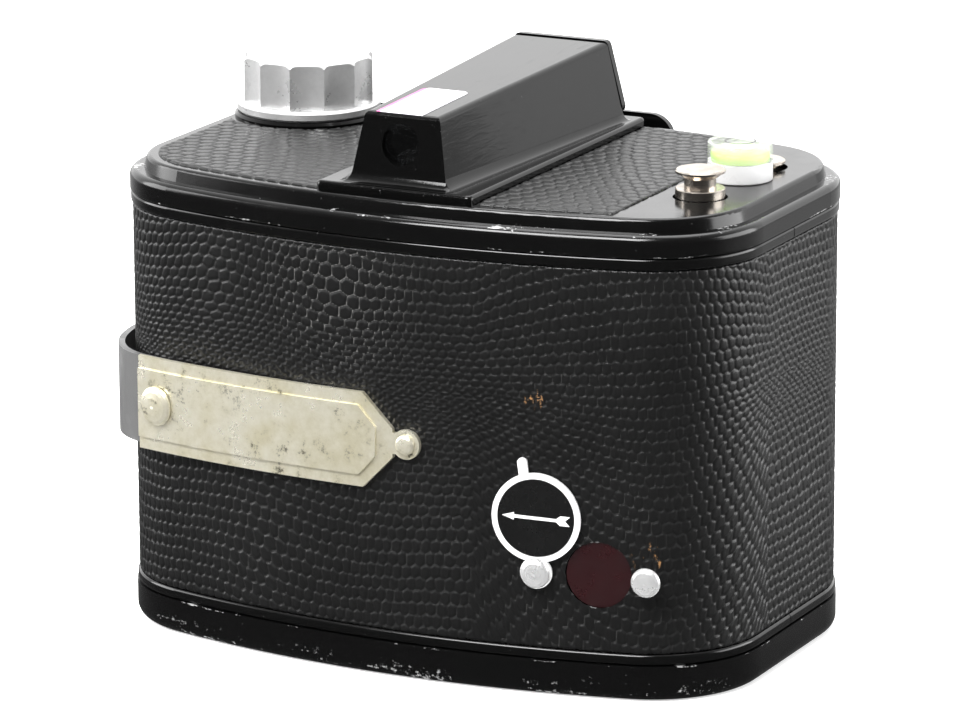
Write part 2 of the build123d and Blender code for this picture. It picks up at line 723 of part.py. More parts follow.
with BuildPart() as rear_strap_plate:
    strap_plate(back_plane, 0.0, 0.5)
rear_strap_plate.part.label = "rear_strap_plate"
export_step(rear_strap_plate.part, "parts/rear_strap_plate.step")

with BuildPart() as front_strap_plate:
    strap_plate(front_plane, FRONT_EAR_SHIFT, 1.0)
front_strap_plate.part.label = "front_strap_plate"
export_step(front_strap_plate.part, "parts/front_strap_plate.step")


def round_corner(y, angle):
    """A point of the free strap's middle line, beside the -X end's corner centred at y."""
    reach = CORNER + STRAP_GAP + STRAP_THICK / 2
    return (-CORNER_X + reach * cos(radians(angle)), y + reach * sin(radians(angle)))


def pinched(touch, x):
    """A point of the strap's middle line where it lies between a strap plate and the skin."""
    middle = touch(x, 0, STRAP_THICK / 2 + 0.1).origin
    return (middle.X, middle.Y)


with BuildPart() as carrying_strap:
    with BuildSketch(Plane.XY.offset(STRAP_Z - STRAP_HALF)) as strap_plan:
        with BuildLine():
            Spline(
                pinched(back_plane, -45.0),
                pinched(back_plane, -49.0),
                round_corner(BACK_CORNER_Y, 228),
                round_corner(BACK_CORNER_Y, 200),
                (-WIDTH / 2 - STRAP_GAP - STRAP_THICK / 2, 0),
                round_corner(FRONT_CORNER_Y, 160),
                round_corner(FRONT_CORNER_Y, 132),
                pinched(front_plane, -49.0),
                pinched(front_plane, -45.0),
            )
        trace(line_width=STRAP_THICK)
    extrude(amount=2 * STRAP_HALF)
    pierce(strap_rivet_plane, SCREW)
    pierce(front_strap_rivet_plane, SCREW)
carrying_strap.part.label = "carrying_strap"
export_step(carrying_strap.part, "parts/carrying_strap.step")

with BuildPart() as strap_rivets:
    for plane in (strap_rivet_plane, front_strap_rivet_plane):
        rivet(plane, STRAP_RIVET, 1.3, SCREW, 4.4)
    for plane in (ear_plane, front_ear_plane):
        rivet(plane, EAR_RIVET, 1.0, 1.0, 3.0)
strap_rivets.part.label = "strap_rivets"
export_step(strap_rivets.part, "parts/strap_rivets.step")

# ---------------------------------------------------------------- finder


def finder_eye(depth):
    """The plane of the eyepiece, at a depth inside the finder's rear face, facing +Y."""
    return Plane((FINDER_X, FINDER_REAR + depth, EYE_Z), x_dir=(1, 0, 0), z_dir=(0, 1, 0))


def facing_front(x, y, z):
    """An upright plane at a point, facing +Y."""
    return Plane((x, y, z), x_dir=(1, 0, 0), z_dir=(0, 1, 0))


def facing_back(x, y, z):
    """An upright plane at a point, facing -Y."""
    return Plane((x, y, z), x_dir=(1, 0, 0), z_dir=(0, -1, 0))


def finder_section(y, foot, head, top, low=HEIGHT, lean=0.0):
    """The finder's section at y, a trapezium between half-widths foot and head. It leans to the front."""
    tilted = Plane((0, y, low), x_dir=(1, 0, 0), z_dir=(0, -cos(radians(lean)), sin(radians(lean))))
    rise = (top - low) / cos(radians(lean))
    with BuildSketch(tilted) as section:
        with BuildLine():
            Polyline(
                (FINDER_X - foot, 0),
                (FINDER_X + foot, 0),
                (FINDER_X + head, rise),
                (FINDER_X - head, rise),
                close=True,
            )
        make_face()
    return section.sketch.face()


with BuildPart() as finder_housing:
    block(
        (FINDER_X - FLANGE_HALF, FINDER_X + FLANGE_HALF),
        (-FLANGE_LENGTH / 2, FLANGE_LENGTH / 2),
        (HEIGHT, FLANGE_TOP),
    )
    fillet(finder_housing.edges().filter_by(Axis.Z), 1.2)
    fillet(finder_housing.edges().group_by(Axis.Z)[-1], 0.8)
    loft(
        [
            finder_section(FINDER_REAR, REAR_FOOT, REAR_TOP, REAR_Z, lean=FINDER_LEAN),
            finder_section(FINDER_FRONT, FRONT_FOOT, FRONT_TOP, FRONT_Z),
        ]
    )
    high = finder_housing.edges().filter_by(lambda edge: edge.center().Z > REAR_Z - 1.0)
    fillet(high, 1.1)
    loft(
        [
            finder_section(FINDER_REAR + 3.0, 5.4, 4.6, REAR_Z - 2.0, EYE_Z - 4.2),
            finder_section(FINDER_FRONT, 9.6, 8.0, FRONT_Z - 2.0, EYE_Z - 6.0),
        ],
        mode=Mode.SUBTRACT,
    )
    disc(finder_eye(-0.5), EYE_RADIUS, 4.2, Mode.SUBTRACT)
finder_housing.part.label = "finder_housing"
export_step(finder_housing.part, "parts/finder_housing.step")

with BuildPart() as finder_eye_lens:
    disc(finder_eye(EYE_RECESS), EYE_RADIUS, 1.2)
finder_eye_lens.part.label = "finder_eye_lens"
export_step(finder_eye_lens.part, "parts/finder_eye_lens.step")

with BuildPart() as finder_front_frame:
    surround = finder_section(FINDER_FRONT, FRONT_FOOT - 0.6, FRONT_TOP, FRONT_Z + 0.2, FLANGE_TOP + 1.3)
    extrude(surround, amount=-1.5)
    fillet(finder_front_frame.edges().filter_by(Axis.Y, tolerance=2), 1.2)
    sight = finder_section(FINDER_FRONT, 8.6, 7.4, FRONT_Z - 2.6, EYE_Z - 5.2)
    extrude(sight, amount=-2.0, mode=Mode.SUBTRACT)
finder_front_frame.part.label = "finder_front_frame"
export_step(finder_front_frame.part, "parts/finder_front_frame.step")

with BuildPart() as finder_front_lens:
    extrude(finder_section(FINDER_FRONT, 9.2, 7.7, FRONT_Z - 2.3, EYE_Z - 5.6), amount=1.4)
finder_front_lens.part.label = "finder_front_lens"
export_step(finder_front_lens.part, "parts/finder_front_lens.step")

finder_top_rear = FINDER_REAR + (REAR_Z - HEIGHT) * tan(radians(FINDER_LEAN))
label_slope = degrees(asin((FRONT_Z - REAR_Z) / (FINDER_FRONT - finder_top_rear)))
with BuildPart() as price_label:
    with BuildSketch(Plane((LABEL_X, finder_top_rear, REAR_Z)).rotated((label_slope, 0, 0))) as sticker:
        with Locations((0, LABEL_START + LABEL_LENGTH / 2)):
            Rectangle(LABEL_WIDTH, LABEL_LENGTH)
        fillet(sticker.vertices().group_by(Axis.Y)[-1], LABEL_CORNER)
    extrude(amount=LABEL_THICK)
price_label.part.label = "price_label"
export_step(price_label.part, "parts/price_label.step")

# ---------------------------------------------------------------- bubble level

with BuildPart() as level_cup:
    disc(spot(LEVEL_X, LEVEL_Y, HEIGHT), LEVEL_RADIUS, LEVEL_CUP_TOP - HEIGHT)
    fillet(level_cup.edges().group_by(Axis.Z)[0], 0.3)
level_cup.part.label = "level_cup"
export_step(level_cup.part, "parts/level_cup.step")

with BuildPart() as level_vial:
    disc(spot(LEVEL_X, LEVEL_Y, LEVEL_CUP_TOP), LEVEL_RADIUS, LEVEL_TOP - LEVEL_CUP_TOP)
    fillet(level_vial.edges().group_by(Axis.Z)[-1], 0.4)
    hollow = spot(LEVEL_X, LEVEL_Y, LEVEL_CUP_TOP)
    disc(hollow, LEVEL_RADIUS - 0.5, LEVEL_LIQUID_TOP - LEVEL_CUP_TOP, Mode.SUBTRACT)
level_vial.part.label = "level_vial"
export_step(level_vial.part, "parts/level_vial.step")

with BuildPart() as level_liquid:
    disc(spot(LEVEL_X, LEVEL_Y, LEVEL_CUP_TOP), LEVEL_RADIUS - 0.5, LEVEL_LIQUID_TOP - LEVEL_CUP_TOP)
    with Locations((LEVEL_X + 0.5, LEVEL_Y + 0.3, LEVEL_LIQUID_TOP)):
        Sphere(1.3, mode=Mode.SUBTRACT)
level_liquid.part.label = "level_liquid"
export_step(level_liquid.part, "parts/level_liquid.step")

# ---------------------------------------------------------------- winding knob

with BuildPart() as knob_seat:
    turn(
        knob_axis,
        (3.9, HEIGHT),
        (SEAT_RADIUS, HEIGHT),
        (SEAT_RADIUS, HEIGHT + 0.5),
        (SEAT_RADIUS - 0.5, KNOB_LOW),
        (3.9, KNOB_LOW),
    )
knob_seat.part.label = "knob_seat"
export_step(knob_seat.part, "parts/knob_seat.step")

with BuildPart() as winding_knob:
    turn(
        knob_axis,
        (SPINDLE, KNOB_LOW + 0.05),
        (KNOB_FLANGE - 0.4, KNOB_LOW + 0.05),
        (KNOB_FLANGE, KNOB_LOW + 0.5),
        (KNOB_FLANGE, KNOB_FLANGE_TOP - 0.5),
        (KNOB_FOOT, KNOB_FLANGE_TOP),
        (KNOB_HEAD, KNOB_TOP - 0.5),
        (KNOB_HEAD - 0.5, KNOB_TOP),
        (0, KNOB_TOP),
        (0, KNOB_BORE_TOP),
        (SPINDLE, KNOB_BORE_TOP),
    )
    with BuildSketch(Plane.XY.offset(KNOB_FLANGE_TOP)):
        with Locations((-SPOOL_X, SPOOL_Y)):
            with PolarLocations(FLUTE_REACH, FLUTES, FLUTE_TURN):
                Circle(FLUTE_RADIUS)
    extrude(amount=KNOB_TOP - KNOB_FLANGE_TOP, mode=Mode.SUBTRACT)
winding_knob.part.label = "winding_knob"
export_step(winding_knob.part, "parts/winding_knob.step")


def square_bar(half, low, high, mode=Mode.ADD):
    """A square bar on the knob's axis, half as wide as given each side, between two heights."""
    block((-SPOOL_X - half, -SPOOL_X + half), (SPOOL_Y - half, SPOOL_Y + half), (low, high), mode)


with BuildPart() as winding_spindle:
    round_low = HEIGHT - CAP_THICK
    disc(spot(-SPOOL_X, SPOOL_Y, round_low), SPINDLE, KNOB_BORE_TOP - round_low)
    square_bar(SQUARE / 2, SPINDLE_SQUARE_LOW, round_low)
    collar_low = SPOOL_HIGH + 0.1
    disc(spot(-SPOOL_X, SPOOL_Y, collar_low), SPINDLE_COLLAR, SPINDLE_SQUARE_LOW - collar_low)
    block((-SPOOL_X - 3.0, -SPOOL_X + 3.0), (SPOOL_Y - 0.6, SPOOL_Y + 0.6), (SPOOL_HIGH - 3.4, collar_low))
winding_spindle.part.label = "winding_spindle"
export_step(winding_spindle.part, "parts/winding_spindle.step")

with BuildPart() as ratchet_wheel:
    with BuildSketch(Plane.XY.offset(RATCHET_LOW)):
        with Locations((-SPOOL_X, SPOOL_Y)):
            Circle(RATCHET)
            with PolarLocations(RATCHET, RATCHET_TEETH):
                Polygon((-1.2, 0), (0.6, -1.6), (0.6, 1.6), align=None, mode=Mode.SUBTRACT)
    extrude(amount=RATCHET_THICK)
    hub_low = RATCHET_LOW + RATCHET_THICK
    disc(spot(-SPOOL_X, SPOOL_Y, hub_low), RATCHET_HUB, RATCHET_HUB_TOP - hub_low)
    square_bar(SQUARE / 2 + 0.1, RATCHET_LOW, RATCHET_HUB_TOP, Mode.SUBTRACT)
ratchet_wheel.part.label = "ratchet_wheel"
export_step(ratchet_wheel.part, "parts/ratchet_wheel.step")

with BuildPart() as click_spring:
    post_x, post_y = CLICK_POST
    block((CLICK_X - 0.15, CLICK_X + 0.15), (10.0, post_y + 1.0), (RATCHET_LOW + 0.4, RATCHET_LOW + 1.6))
    disc(spot(post_x, post_y, RATCHET_LOW), 1.2, HEIGHT - CAP_THICK - RATCHET_LOW)
click_spring.part.label = "click_spring"
export_step(click_spring.part, "parts/click_spring.step")

# ---------------------------------------------------------------- buttons and shutter


def button_body(axis, top):
    """A push button like a cotton reel on a stem, its head's rim at height top."""
    low = top - BUTTON_RISE
    turn(
        axis,
        (0, low - 6.3),
        (0.9, low - 6.1),
        (STEM, low - 5.3),
        (STEM, low),
        (BUTTON_RIM, low),
        (BUTTON_RIM, low + 1.6),
        (BUTTON_RIM - 0.15, low + 1.75),
        (2.95, low + 1.75),
        (2.95, low + 3.6),
        (4.2, low + 4.5),
        (BUTTON_RIM, low + 4.65),
        (BUTTON_RIM, low + 5.0),
        (4.35, low + 5.2),
        (3.9, low + 5.12),
        (2.2, low + 4.85),
        (0, low + 4.75),
    )


with BuildPart() as release_button:
    button_body(release_axis, HEIGHT + BUTTON_RISE)
release_button.part.label = "release_button"
export_step(release_button.part, "parts/release_button.step")

with BuildPart() as time_button:
    button_body(time_axis, HEIGHT + BUTTON_RISE - BUTTON_TRAVEL)
time_button.part.label = "time_button"
export_step(time_button.part, "parts/time_button.step")

with BuildPart() as release_spring:
    spring_low = GUIDE_HIGH + 0.5
    spring_high = spring_low + (SPRING_TURNS - 1) * SPRING_PITCH + SPRING_WIRE
    for n in range(SPRING_TURNS):
        ring = spot(BUTTON_X, RELEASE_Y, spring_low + n * SPRING_PITCH)
        disc(ring, SPRING_OUTER, SPRING_WIRE)
        disc(ring, SPRING_INNER, SPRING_WIRE, Mode.SUBTRACT)
    for side in (-1, 1):
        block(
            sorted((BUTTON_X + side * SPRING_INNER, BUTTON_X + side * SPRING_OUTER)),
            (RELEASE_Y - 0.3, RELEASE_Y + 0.3),
            (spring_low, spring_high),
        )
release_spring.part.label = "release_spring"
export_step(release_spring.part, "parts/release_spring.step")

with BuildPart() as button_guide:
    block((BUTTON_X - 5.9, BUTTON_X + 5.6), (GUIDE_REAR, GUIDE_FRONT), (GUIDE_LOW, GUIDE_HIGH))
    for y_range in ((GUIDE_REAR, GUIDE_REAR + 1.0), (GUIDE_FRONT - 1.0, GUIDE_FRONT)):
        block((BUTTON_X - 4.4, BUTTON_X + 3.6), y_range, (GUIDE_HIGH, HEIGHT - CAP_THICK))
    for axis in (release_axis, time_axis):
        disc(axis, STEM + RUNNING_GAP, HEIGHT, Mode.SUBTRACT)
button_guide.part.label = "button_guide"
export_step(button_guide.part, "parts/button_guide.step")

with BuildPart() as rocker_brackets:
    for y in BRACKET_REARS:
        z_range = (ROCKER_Z - 2.0, HEIGHT - CAP_THICK)
        block((ROCKER_X - 2.2, ROCKER_X + 2.2), (y, y + BRACKET_THICK), z_range)
        disc(facing_front(ROCKER_X, y, ROCKER_Z), ROCKER_SHAFT + 0.06, BRACKET_THICK, Mode.SUBTRACT)
rocker_brackets.part.label = "rocker_brackets"
export_step(rocker_brackets.part, "parts/rocker_brackets.step")

with BuildPart() as release_rocker:
    shaft_rear = RELEASE_Y - 3.0
    shaft = facing_front(ROCKER_X, shaft_rear, ROCKER_Z)
    disc(shaft, ROCKER_SHAFT, ROCKER_ARM_Y - shaft_rear)
    disc(shaft, ROCKER_HUB, 5.0)
    block(
        (ROCKER_X, BUTTON_X + ROCKER_PADDLE),
        (shaft_rear, shaft_rear + 5.0),
        (ROCKER_Z - 0.6, ROCKER_Z + 0.6),
    )
    with BuildSketch(upright(ROCKER_ARM_Y)) as arm:
        with Locations((ROCKER_X, ROCKER_Z)):
            Circle(ROCKER_HUB)
        with Locations(ROCKER_ARM_END):
            Circle(1.2)
        make_hull()
    extrude(arm.sketch, amount=1.0)
release_rocker.part.label = "release_rocker"
export_step(release_rocker.part, "parts/release_rocker.step")

with BuildPart() as shutter_plate:
    with BuildSketch(upright(SHUTTER_Y + 1.0)) as plate:
        with Locations((0, SHUTTER_MIDDLE_Z)):
            Rectangle(SHUTTER_WIDTH, SHUTTER_HIGH)
        with Locations((0, LENS_Z)):
            Circle(APERTURE, mode=Mode.SUBTRACT)
    extrude(plate.sketch, amount=1.0)
    for x in (-PILLAR_X, PILLAR_X):
        for z in PILLAR_HEIGHTS:
            disc(facing_front(x, SHUTTER_Y + 1.0, z), PILLAR, PILLAR_LENGTH)
    disc(facing_back(SECTOR_X, SHUTTER_Y, SECTOR_Z), SECTOR_PIN, 1.2)
    disc(facing_back(SECTOR_X, SHUTTER_Y - 1.0, SECTOR_Z), 1.8 * SECTOR_PIN, 0.4)
shutter_plate.part.label = "shutter_plate"
export_step(shutter_plate.part, "parts/shutter_plate.step")

with BuildPart() as shutter_sector:
    with BuildSketch(upright(SHUTTER_Y - 0.25)) as blade:
        with Locations((0, LENS_Z)):
            Circle(SECTOR_BLADE)
        with Locations((SECTOR_X, SECTOR_Z)):
            Circle(SECTOR_EYE)
        make_hull()
        with Locations((SECTOR_X, SECTOR_Z)):
            Circle(SECTOR_PIN + 0.06, mode=Mode.SUBTRACT)
    extrude(blade.sketch, amount=0.5)
shutter_sector.part.label = "shutter_sector"
export_step(shutter_sector.part, "parts/shutter_sector.step")

with BuildPart() as shutter_spring:
    anchor_x = SECTOR_X + 6.0
    anchor_z = SECTOR_Z + SECTOR_BLADE
    disc(facing_back(anchor_x, SHUTTER_Y, anchor_z), 0.8, 1.2)
    with BuildSketch(upright(SHUTTER_Y - 0.3)) as wire:
        with BuildLine() as path:
            Line((anchor_x, anchor_z - 0.6), (SECTOR_X + 3.0, SECTOR_Z + 3.8))
        trace(path.edges(), line_width=0.4)
    extrude(wire.sketch, amount=0.4)
shutter_spring.part.label = "shutter_spring"
export_step(shutter_spring.part, "parts/shutter_spring.step")

# ---------------------------------------------------------------- front panel and lens

with BuildPart() as front_panel:
    middle = (FRONT_PANEL_LOW + FRONT_PANEL_TOP) / 2
    with BuildSketch(upright(FRONT_PANEL_FACE)) as face:
        with Locations((0, middle)):
            high = FRONT_PANEL_TOP - FRONT_PANEL_LOW
            RectangleRounded(2 * FRONT_PANEL_HALF, high, FRONT_PANEL_CORNER)
    extrude(face.sketch, amount=FRONT_PANEL_FACE - FRONT_PANEL_BACK)
    fillet(front_panel.edges().group_by(Axis.Y)[-1], 0.8)
    disc(lens_axis, BARREL + 0.05, DEPTH, Mode.SUBTRACT)
    for x, z in PANEL_SCREWS:
        disc(facing_front(x, FRONT_PANEL_BACK, z), FRONT_SCREW, 3.0, Mode.SUBTRACT)
front_panel.part.label = "front_panel"
export_step(front_panel.part, "parts/front_panel.step")

with BuildPart() as front_panel_screws:
    for x, z in PANEL_SCREWS:
        rivet(facing_front(x, FRONT_PANEL_FACE, z), 2 * FRONT_SCREW, 0.7, FRONT_SCREW, 1.9)
        slot_y = (FRONT_PANEL_FACE + 0.4, FRONT_PANEL_FACE + 1.0)
        block((x - 2.1, x + 2.1), slot_y, (z - 0.25, z + 0.25), Mode.SUBTRACT)
front_panel_screws.part.label = "front_panel_screws"
export_step(front_panel_screws.part, "parts/front_panel_screws.step")

with BuildPart() as lens_bezel:
    turn(
        lens_axis,
        (BARREL + 0.05, FRONT_PANEL_FACE),
        (BEZEL, FRONT_PANEL_FACE),
        (BEZEL, FRONT_PANEL_FACE + 0.7),
        (BEZEL - 0.6, FRONT_PANEL_FACE + 1.2),
        (BARREL + 0.05, FRONT_PANEL_FACE + 1.8),
    )
lens_bezel.part.label = "lens_bezel"
export_step(lens_bezel.part, "parts/lens_bezel.step")

with BuildPart() as lens_barrel:
    turn(
        lens_axis,
        (BARREL_BORE, BARREL_REAR),
        (BARREL, BARREL_REAR),
        (BARREL, BARREL_FRONT - 0.5),
        (BARREL - 0.5, BARREL_FRONT),
        (BARREL_BORE + 0.8, BARREL_FRONT),
        (BARREL_BORE, BARREL_FRONT - 3.1),
    )
lens_barrel.part.label = "lens_barrel"
export_step(lens_barrel.part, "parts/lens_barrel.step")

with BuildPart() as lens_element:
    turn(
        lens_axis,
        (0, LENS_MIDDLE_Y - LENS_DISH),
        (0.35 * BARREL_BORE, LENS_MIDDLE_Y - 0.95 * LENS_DISH),
        (0.7 * BARREL_BORE, LENS_MIDDLE_Y - 0.73 * LENS_DISH),
        (BARREL_BORE, LENS_MIDDLE_Y - LENS_EDGE),
        (BARREL_BORE, LENS_MIDDLE_Y + LENS_EDGE),
        (0.7 * BARREL_BORE, LENS_MIDDLE_Y + 0.67 * LENS_CROWN),
        (0.35 * BARREL_BORE, LENS_MIDDLE_Y + 0.91 * LENS_CROWN),
        (0, LENS_MIDDLE_Y + LENS_CROWN),
    )
lens_element.part.label = "lens_element"
export_step(lens_element.part, "parts/lens_element.step")

with BuildPart() as lens_retaining_ring:
    ring_front = FRONT_PANEL_BACK
    ring_rear = LENS_MIDDLE_Y + 1.4
    turn(
        lens_axis,
        (RING_BORE, ring_rear + 0.3),
        (BARREL_BORE, ring_rear),
        (BARREL_BORE, ring_front),
        (RING_BORE, ring_front),
    )
lens_retaining_ring.part.label = "lens_retaining_ring"
export_step(lens_retaining_ring.part, "parts/lens_retaining_ring.step")
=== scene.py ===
import json
import math

import bmesh
import bpy
import numpy as np
from mathutils import Matrix, Vector
from mathutils.kdtree import KDTree


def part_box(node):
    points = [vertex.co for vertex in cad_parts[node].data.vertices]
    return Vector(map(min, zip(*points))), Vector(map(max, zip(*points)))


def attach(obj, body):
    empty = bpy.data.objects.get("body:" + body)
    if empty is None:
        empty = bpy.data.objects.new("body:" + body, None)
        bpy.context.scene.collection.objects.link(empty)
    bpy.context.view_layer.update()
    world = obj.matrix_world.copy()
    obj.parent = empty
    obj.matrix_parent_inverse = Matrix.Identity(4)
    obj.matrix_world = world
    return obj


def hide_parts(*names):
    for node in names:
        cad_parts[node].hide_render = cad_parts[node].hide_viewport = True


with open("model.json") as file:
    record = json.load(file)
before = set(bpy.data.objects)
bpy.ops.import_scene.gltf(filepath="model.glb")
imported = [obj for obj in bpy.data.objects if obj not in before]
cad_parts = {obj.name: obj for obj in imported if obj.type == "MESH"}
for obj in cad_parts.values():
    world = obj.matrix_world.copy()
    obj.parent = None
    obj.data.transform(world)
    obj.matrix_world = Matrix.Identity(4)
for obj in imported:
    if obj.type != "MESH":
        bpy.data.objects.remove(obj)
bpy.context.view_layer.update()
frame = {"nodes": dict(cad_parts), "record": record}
MM = 0.001

# Body outline: bowed back and front, straight ends, round corners (metres)
WIDTH = 128.6 * MM
DEPTH = 84.2 * MM
BACK_BOW = 192.9 * MM
FRONT_BOW = 249.0 * MM
CORNER = 22.0 * MM
CORNER_X = WIDTH / 2 - CORNER
BACK_CENTRE = BACK_BOW - DEPTH / 2
FRONT_CENTRE = DEPTH / 2 - FRONT_BOW
BACK_SWEEP = math.asin(CORNER_X / (BACK_BOW - CORNER))
FRONT_SWEEP = math.asin(CORNER_X / (FRONT_BOW - CORNER))
BACK_CORNER_Y = BACK_CENTRE - (BACK_BOW - CORNER) * math.cos(BACK_SWEEP)
FRONT_CORNER_Y = FRONT_CENTRE + (FRONT_BOW - CORNER) * math.cos(FRONT_SWEEP)
LEATHER_INSET = 0.45 * MM
SHELL_INSET = 1.05 * MM

# ------------------------------------------------------------------ node materials


class Nodes:
    """A material under construction: short helpers that add and join shader nodes."""

    def __init__(self, name):
        self.material = bpy.data.materials.new(name)
        self.material.use_nodes = True
        self.tree = self.material.node_tree
        self.shader = self.tree.nodes["Principled BSDF"]
        self.place = self.tree.nodes.new("ShaderNodeTexCoord").outputs["Object"]

    def add(self, kind, **values):
        node = self.tree.nodes.new(kind)
        for key, value in values.items():
            setattr(node, key, value)
        return node

    def join(self, value, socket):
        if isinstance(value, bpy.types.NodeSocket):
            self.tree.links.new(value, socket)
        else:
            socket.default_value = value

    def noise(self, scale, detail=4.0, roughness=0.6, distortion=0.0, where=None):
        node = self.add("ShaderNodeTexNoise")
        self.join(where or self.place, node.inputs["Vector"])
        node.inputs["Scale"].default_value = scale
        node.inputs["Detail"].default_value = detail
        node.inputs["Roughness"].default_value = roughness
        node.inputs["Distortion"].default_value = distortion
        return node.outputs["Fac"]

    def math(self, operation, a, b=0.0, clamp=False):
        node = self.add("ShaderNodeMath", operation=operation, use_clamp=clamp)
        self.join(a, node.inputs[0])
        self.join(b, node.inputs[1])
        return node.outputs[0]

    def ramp(self, value, low, high, to_low=0.0, to_high=1.0):
        node = self.add("ShaderNodeMapRange", interpolation_type="SMOOTHSTEP")
        self.join(value, node.inputs["Value"])
        node.inputs["From Min"].default_value = low
        node.inputs["From Max"].default_value = high
        node.inputs["To Min"].default_value = to_low
        node.inputs["To Max"].default_value = to_high
        return node.outputs["Result"]

    def mix(self, share, a, b):
        node = self.add("ShaderNodeMix", data_type="RGBA")
        self.join(share, node.inputs["Factor"])
        self.join(a, node.inputs["A"])
        self.join(b, node.inputs["B"])
        return node.outputs["Result"]

    def stretched(self, x, y, z, turn=(0.0, 0.0, 0.0)):
        node = self.add("ShaderNodeMapping")
        self.join(self.place, node.inputs["Vector"])
        node.inputs["Scale"].default_value = (x, y, z)
        node.inputs["Rotation"].default_value = turn
        return node.outputs["Vector"]

    def axes(self):
        node = self.add("ShaderNodeSeparateXYZ")
        self.join(self.place, node.inputs["Vector"])
        return node.outputs["X"], node.outputs["Y"], node.outputs["Z"]

    def near(self, point, reach, soft=0.5, squeeze=(1.0, 1.0, 1.0)):
        """1 within reach of a point, falling to 0 over soft times reach more; squeeze scales the axes."""
        node = self.add("ShaderNodeVectorMath", operation="DISTANCE")
        self.join(self.stretched(*squeeze), node.inputs[0])
        node.inputs[1].default_value = [a * b for a, b in zip(point, squeeze)]
        return self.ramp(node.outputs["Value"], reach, reach * (1 + soft), 1.0, 0.0)

    def band(self, value, middle, reach):
        """1 where value is within 0.1 mm of middle, falling to 0 at reach from it."""
        away = self.math("ABSOLUTE", self.math("SUBTRACT", value, middle))
        return self.ramp(away, 0.0001, reach, 1.0, 0.0)

    def bump(self, height, depth, strength=1.0):
        node = self.add("ShaderNodeBump")
        node.inputs["Strength"].default_value = strength
        node.inputs["Distance"].default_value = depth
        self.join(height, node.inputs["Height"])
        self.join(node.outputs["Normal"], self.shader.inputs["Normal"])

    def finish(self, color=None, rough=None, metal=None, **others):
        values = {"Base Color": color, "Roughness": rough, "Metallic": metal}
        values.update({key.replace("_", " "): value for key, value in others.items()})
        for key, value in values.items():
            if value is not None:
                self.join(value, self.shader.inputs[key])
        return self.material


def grey(value, alpha=1.0):
    return (value, value, value, alpha)


# Heights of the enamelled edges that wear first (metres); the band at the skirt's edge is also partly a
# painted highlight line
RIM_EDGE = 87.4 * MM
SKIRT_EDGE = 83.6 * MM
BASE_EDGE = 6.75 * MM
BASE_TOP = 10.0 * MM


def black_enamel():
    """Gloss black stoving enamel: faint ripple, dust, and bare metal where edges have worn; along the skirt's
    lower edge that bare metal is partly a painted highlight line.
    """
    n = Nodes("black_enamel")
    x, y, z = n.axes()
    streaks = n.noise(150, 6, 0.72, 0.4, n.stretched(0.45, 0.45, 3.2))
    grit = n.noise(950, 4, 0.7)
    foot = n.ramp(z, 0.0012, 0.0042, 1.0, 0.0)
    rim = n.band(z, RIM_EDGE, 0.0006)
    # Skirt edge band: worn bare metal there, and partly a painted thin highlight line along the cap's lower
    # edge
    skirt_wear_and_highlight = n.band(z, SKIRT_EDGE, 0.00035)
    lip = n.band(z, BASE_EDGE, 0.0004)
    edges = n.math("MAXIMUM", n.math("MAXIMUM", rim, lip), skirt_wear_and_highlight)
    worn = n.math("ADD", n.math("MULTIPLY", edges, 0.2), n.math("MULTIPLY", streaks, 0.75))
    worn = n.math("ADD", worn, n.math("MULTIPLY", grit, 0.22))
    bare = n.ramp(worn, 0.745, 0.785)
    for point, reach, stretch in CHIPS:
        spot = n.near(point, reach, 0.5, stretch)
        spot = n.math("MULTIPLY", spot, 0.42)
        spot = n.math("ADD", spot, n.math("MULTIPLY", streaks, 0.5))
        spot = n.ramp(n.math("ADD", spot, n.math("MULTIPLY", grit, 0.5)), 0.975, 1.03)
        on_base = point[2] < BASE_TOP
        where = n.math("MAXIMUM", foot, edges) if on_base else 1.0
        bare = n.math("MAXIMUM", bare, n.math("MULTIPLY", spot, where))
    metal = n.mix(n.noise(700, 3), grey(0.34), grey(0.62))
    color = n.mix(bare, grey(0.0022), metal)
    dust = n.ramp(n.noise(1500, 2, 0.5), 0.74, 0.79, 0.0, 0.25)
    color = n.mix(dust, color, grey(0.16))
    rough = n.math("ADD", n.math("MULTIPLY", bare, 0.3), n.ramp(n.noise(60, 5), 0.3, 0.75, 0.1, 0.24))
    height = n.math("SUBTRACT", n.math("MULTIPLY", n.noise(45, 2, 0.4), 0.25), bare)
    n.bump(height, 0.00006, 0.7)
    return n.finish(color, rough, n.math("MULTIPLY", bare, 0.5), Specular_IOR_Level=0.42)


def bakelite():
    """Polished black moulding with fine dust and hairline scratches."""
    n = Nodes("bakelite")
    hair = n.noise(900, 2, 0.5, 1.2, n.stretched(1.0, 0.12, 1.0, (0.2, 0.3, 0.5)))
    dust = n.ramp(n.noise(1700, 2, 0.5), 0.73, 0.78, 0.0, 0.3)
    color = n.mix(dust, grey(0.0018), grey(0.2))
    rough = n.math("ADD", n.ramp(n.noise(40, 4), 0.3, 0.7, 0.06, 0.13), n.ramp(hair, 0.62, 0.7, 0.0, 0.1))
    n.bump(n.math("ADD", n.math("MULTIPLY", n.noise(70, 2), 0.4), hair), 0.000012, 0.6)
    return n.finish(color, rough, 0.0, Specular_IOR_Level=0.3)


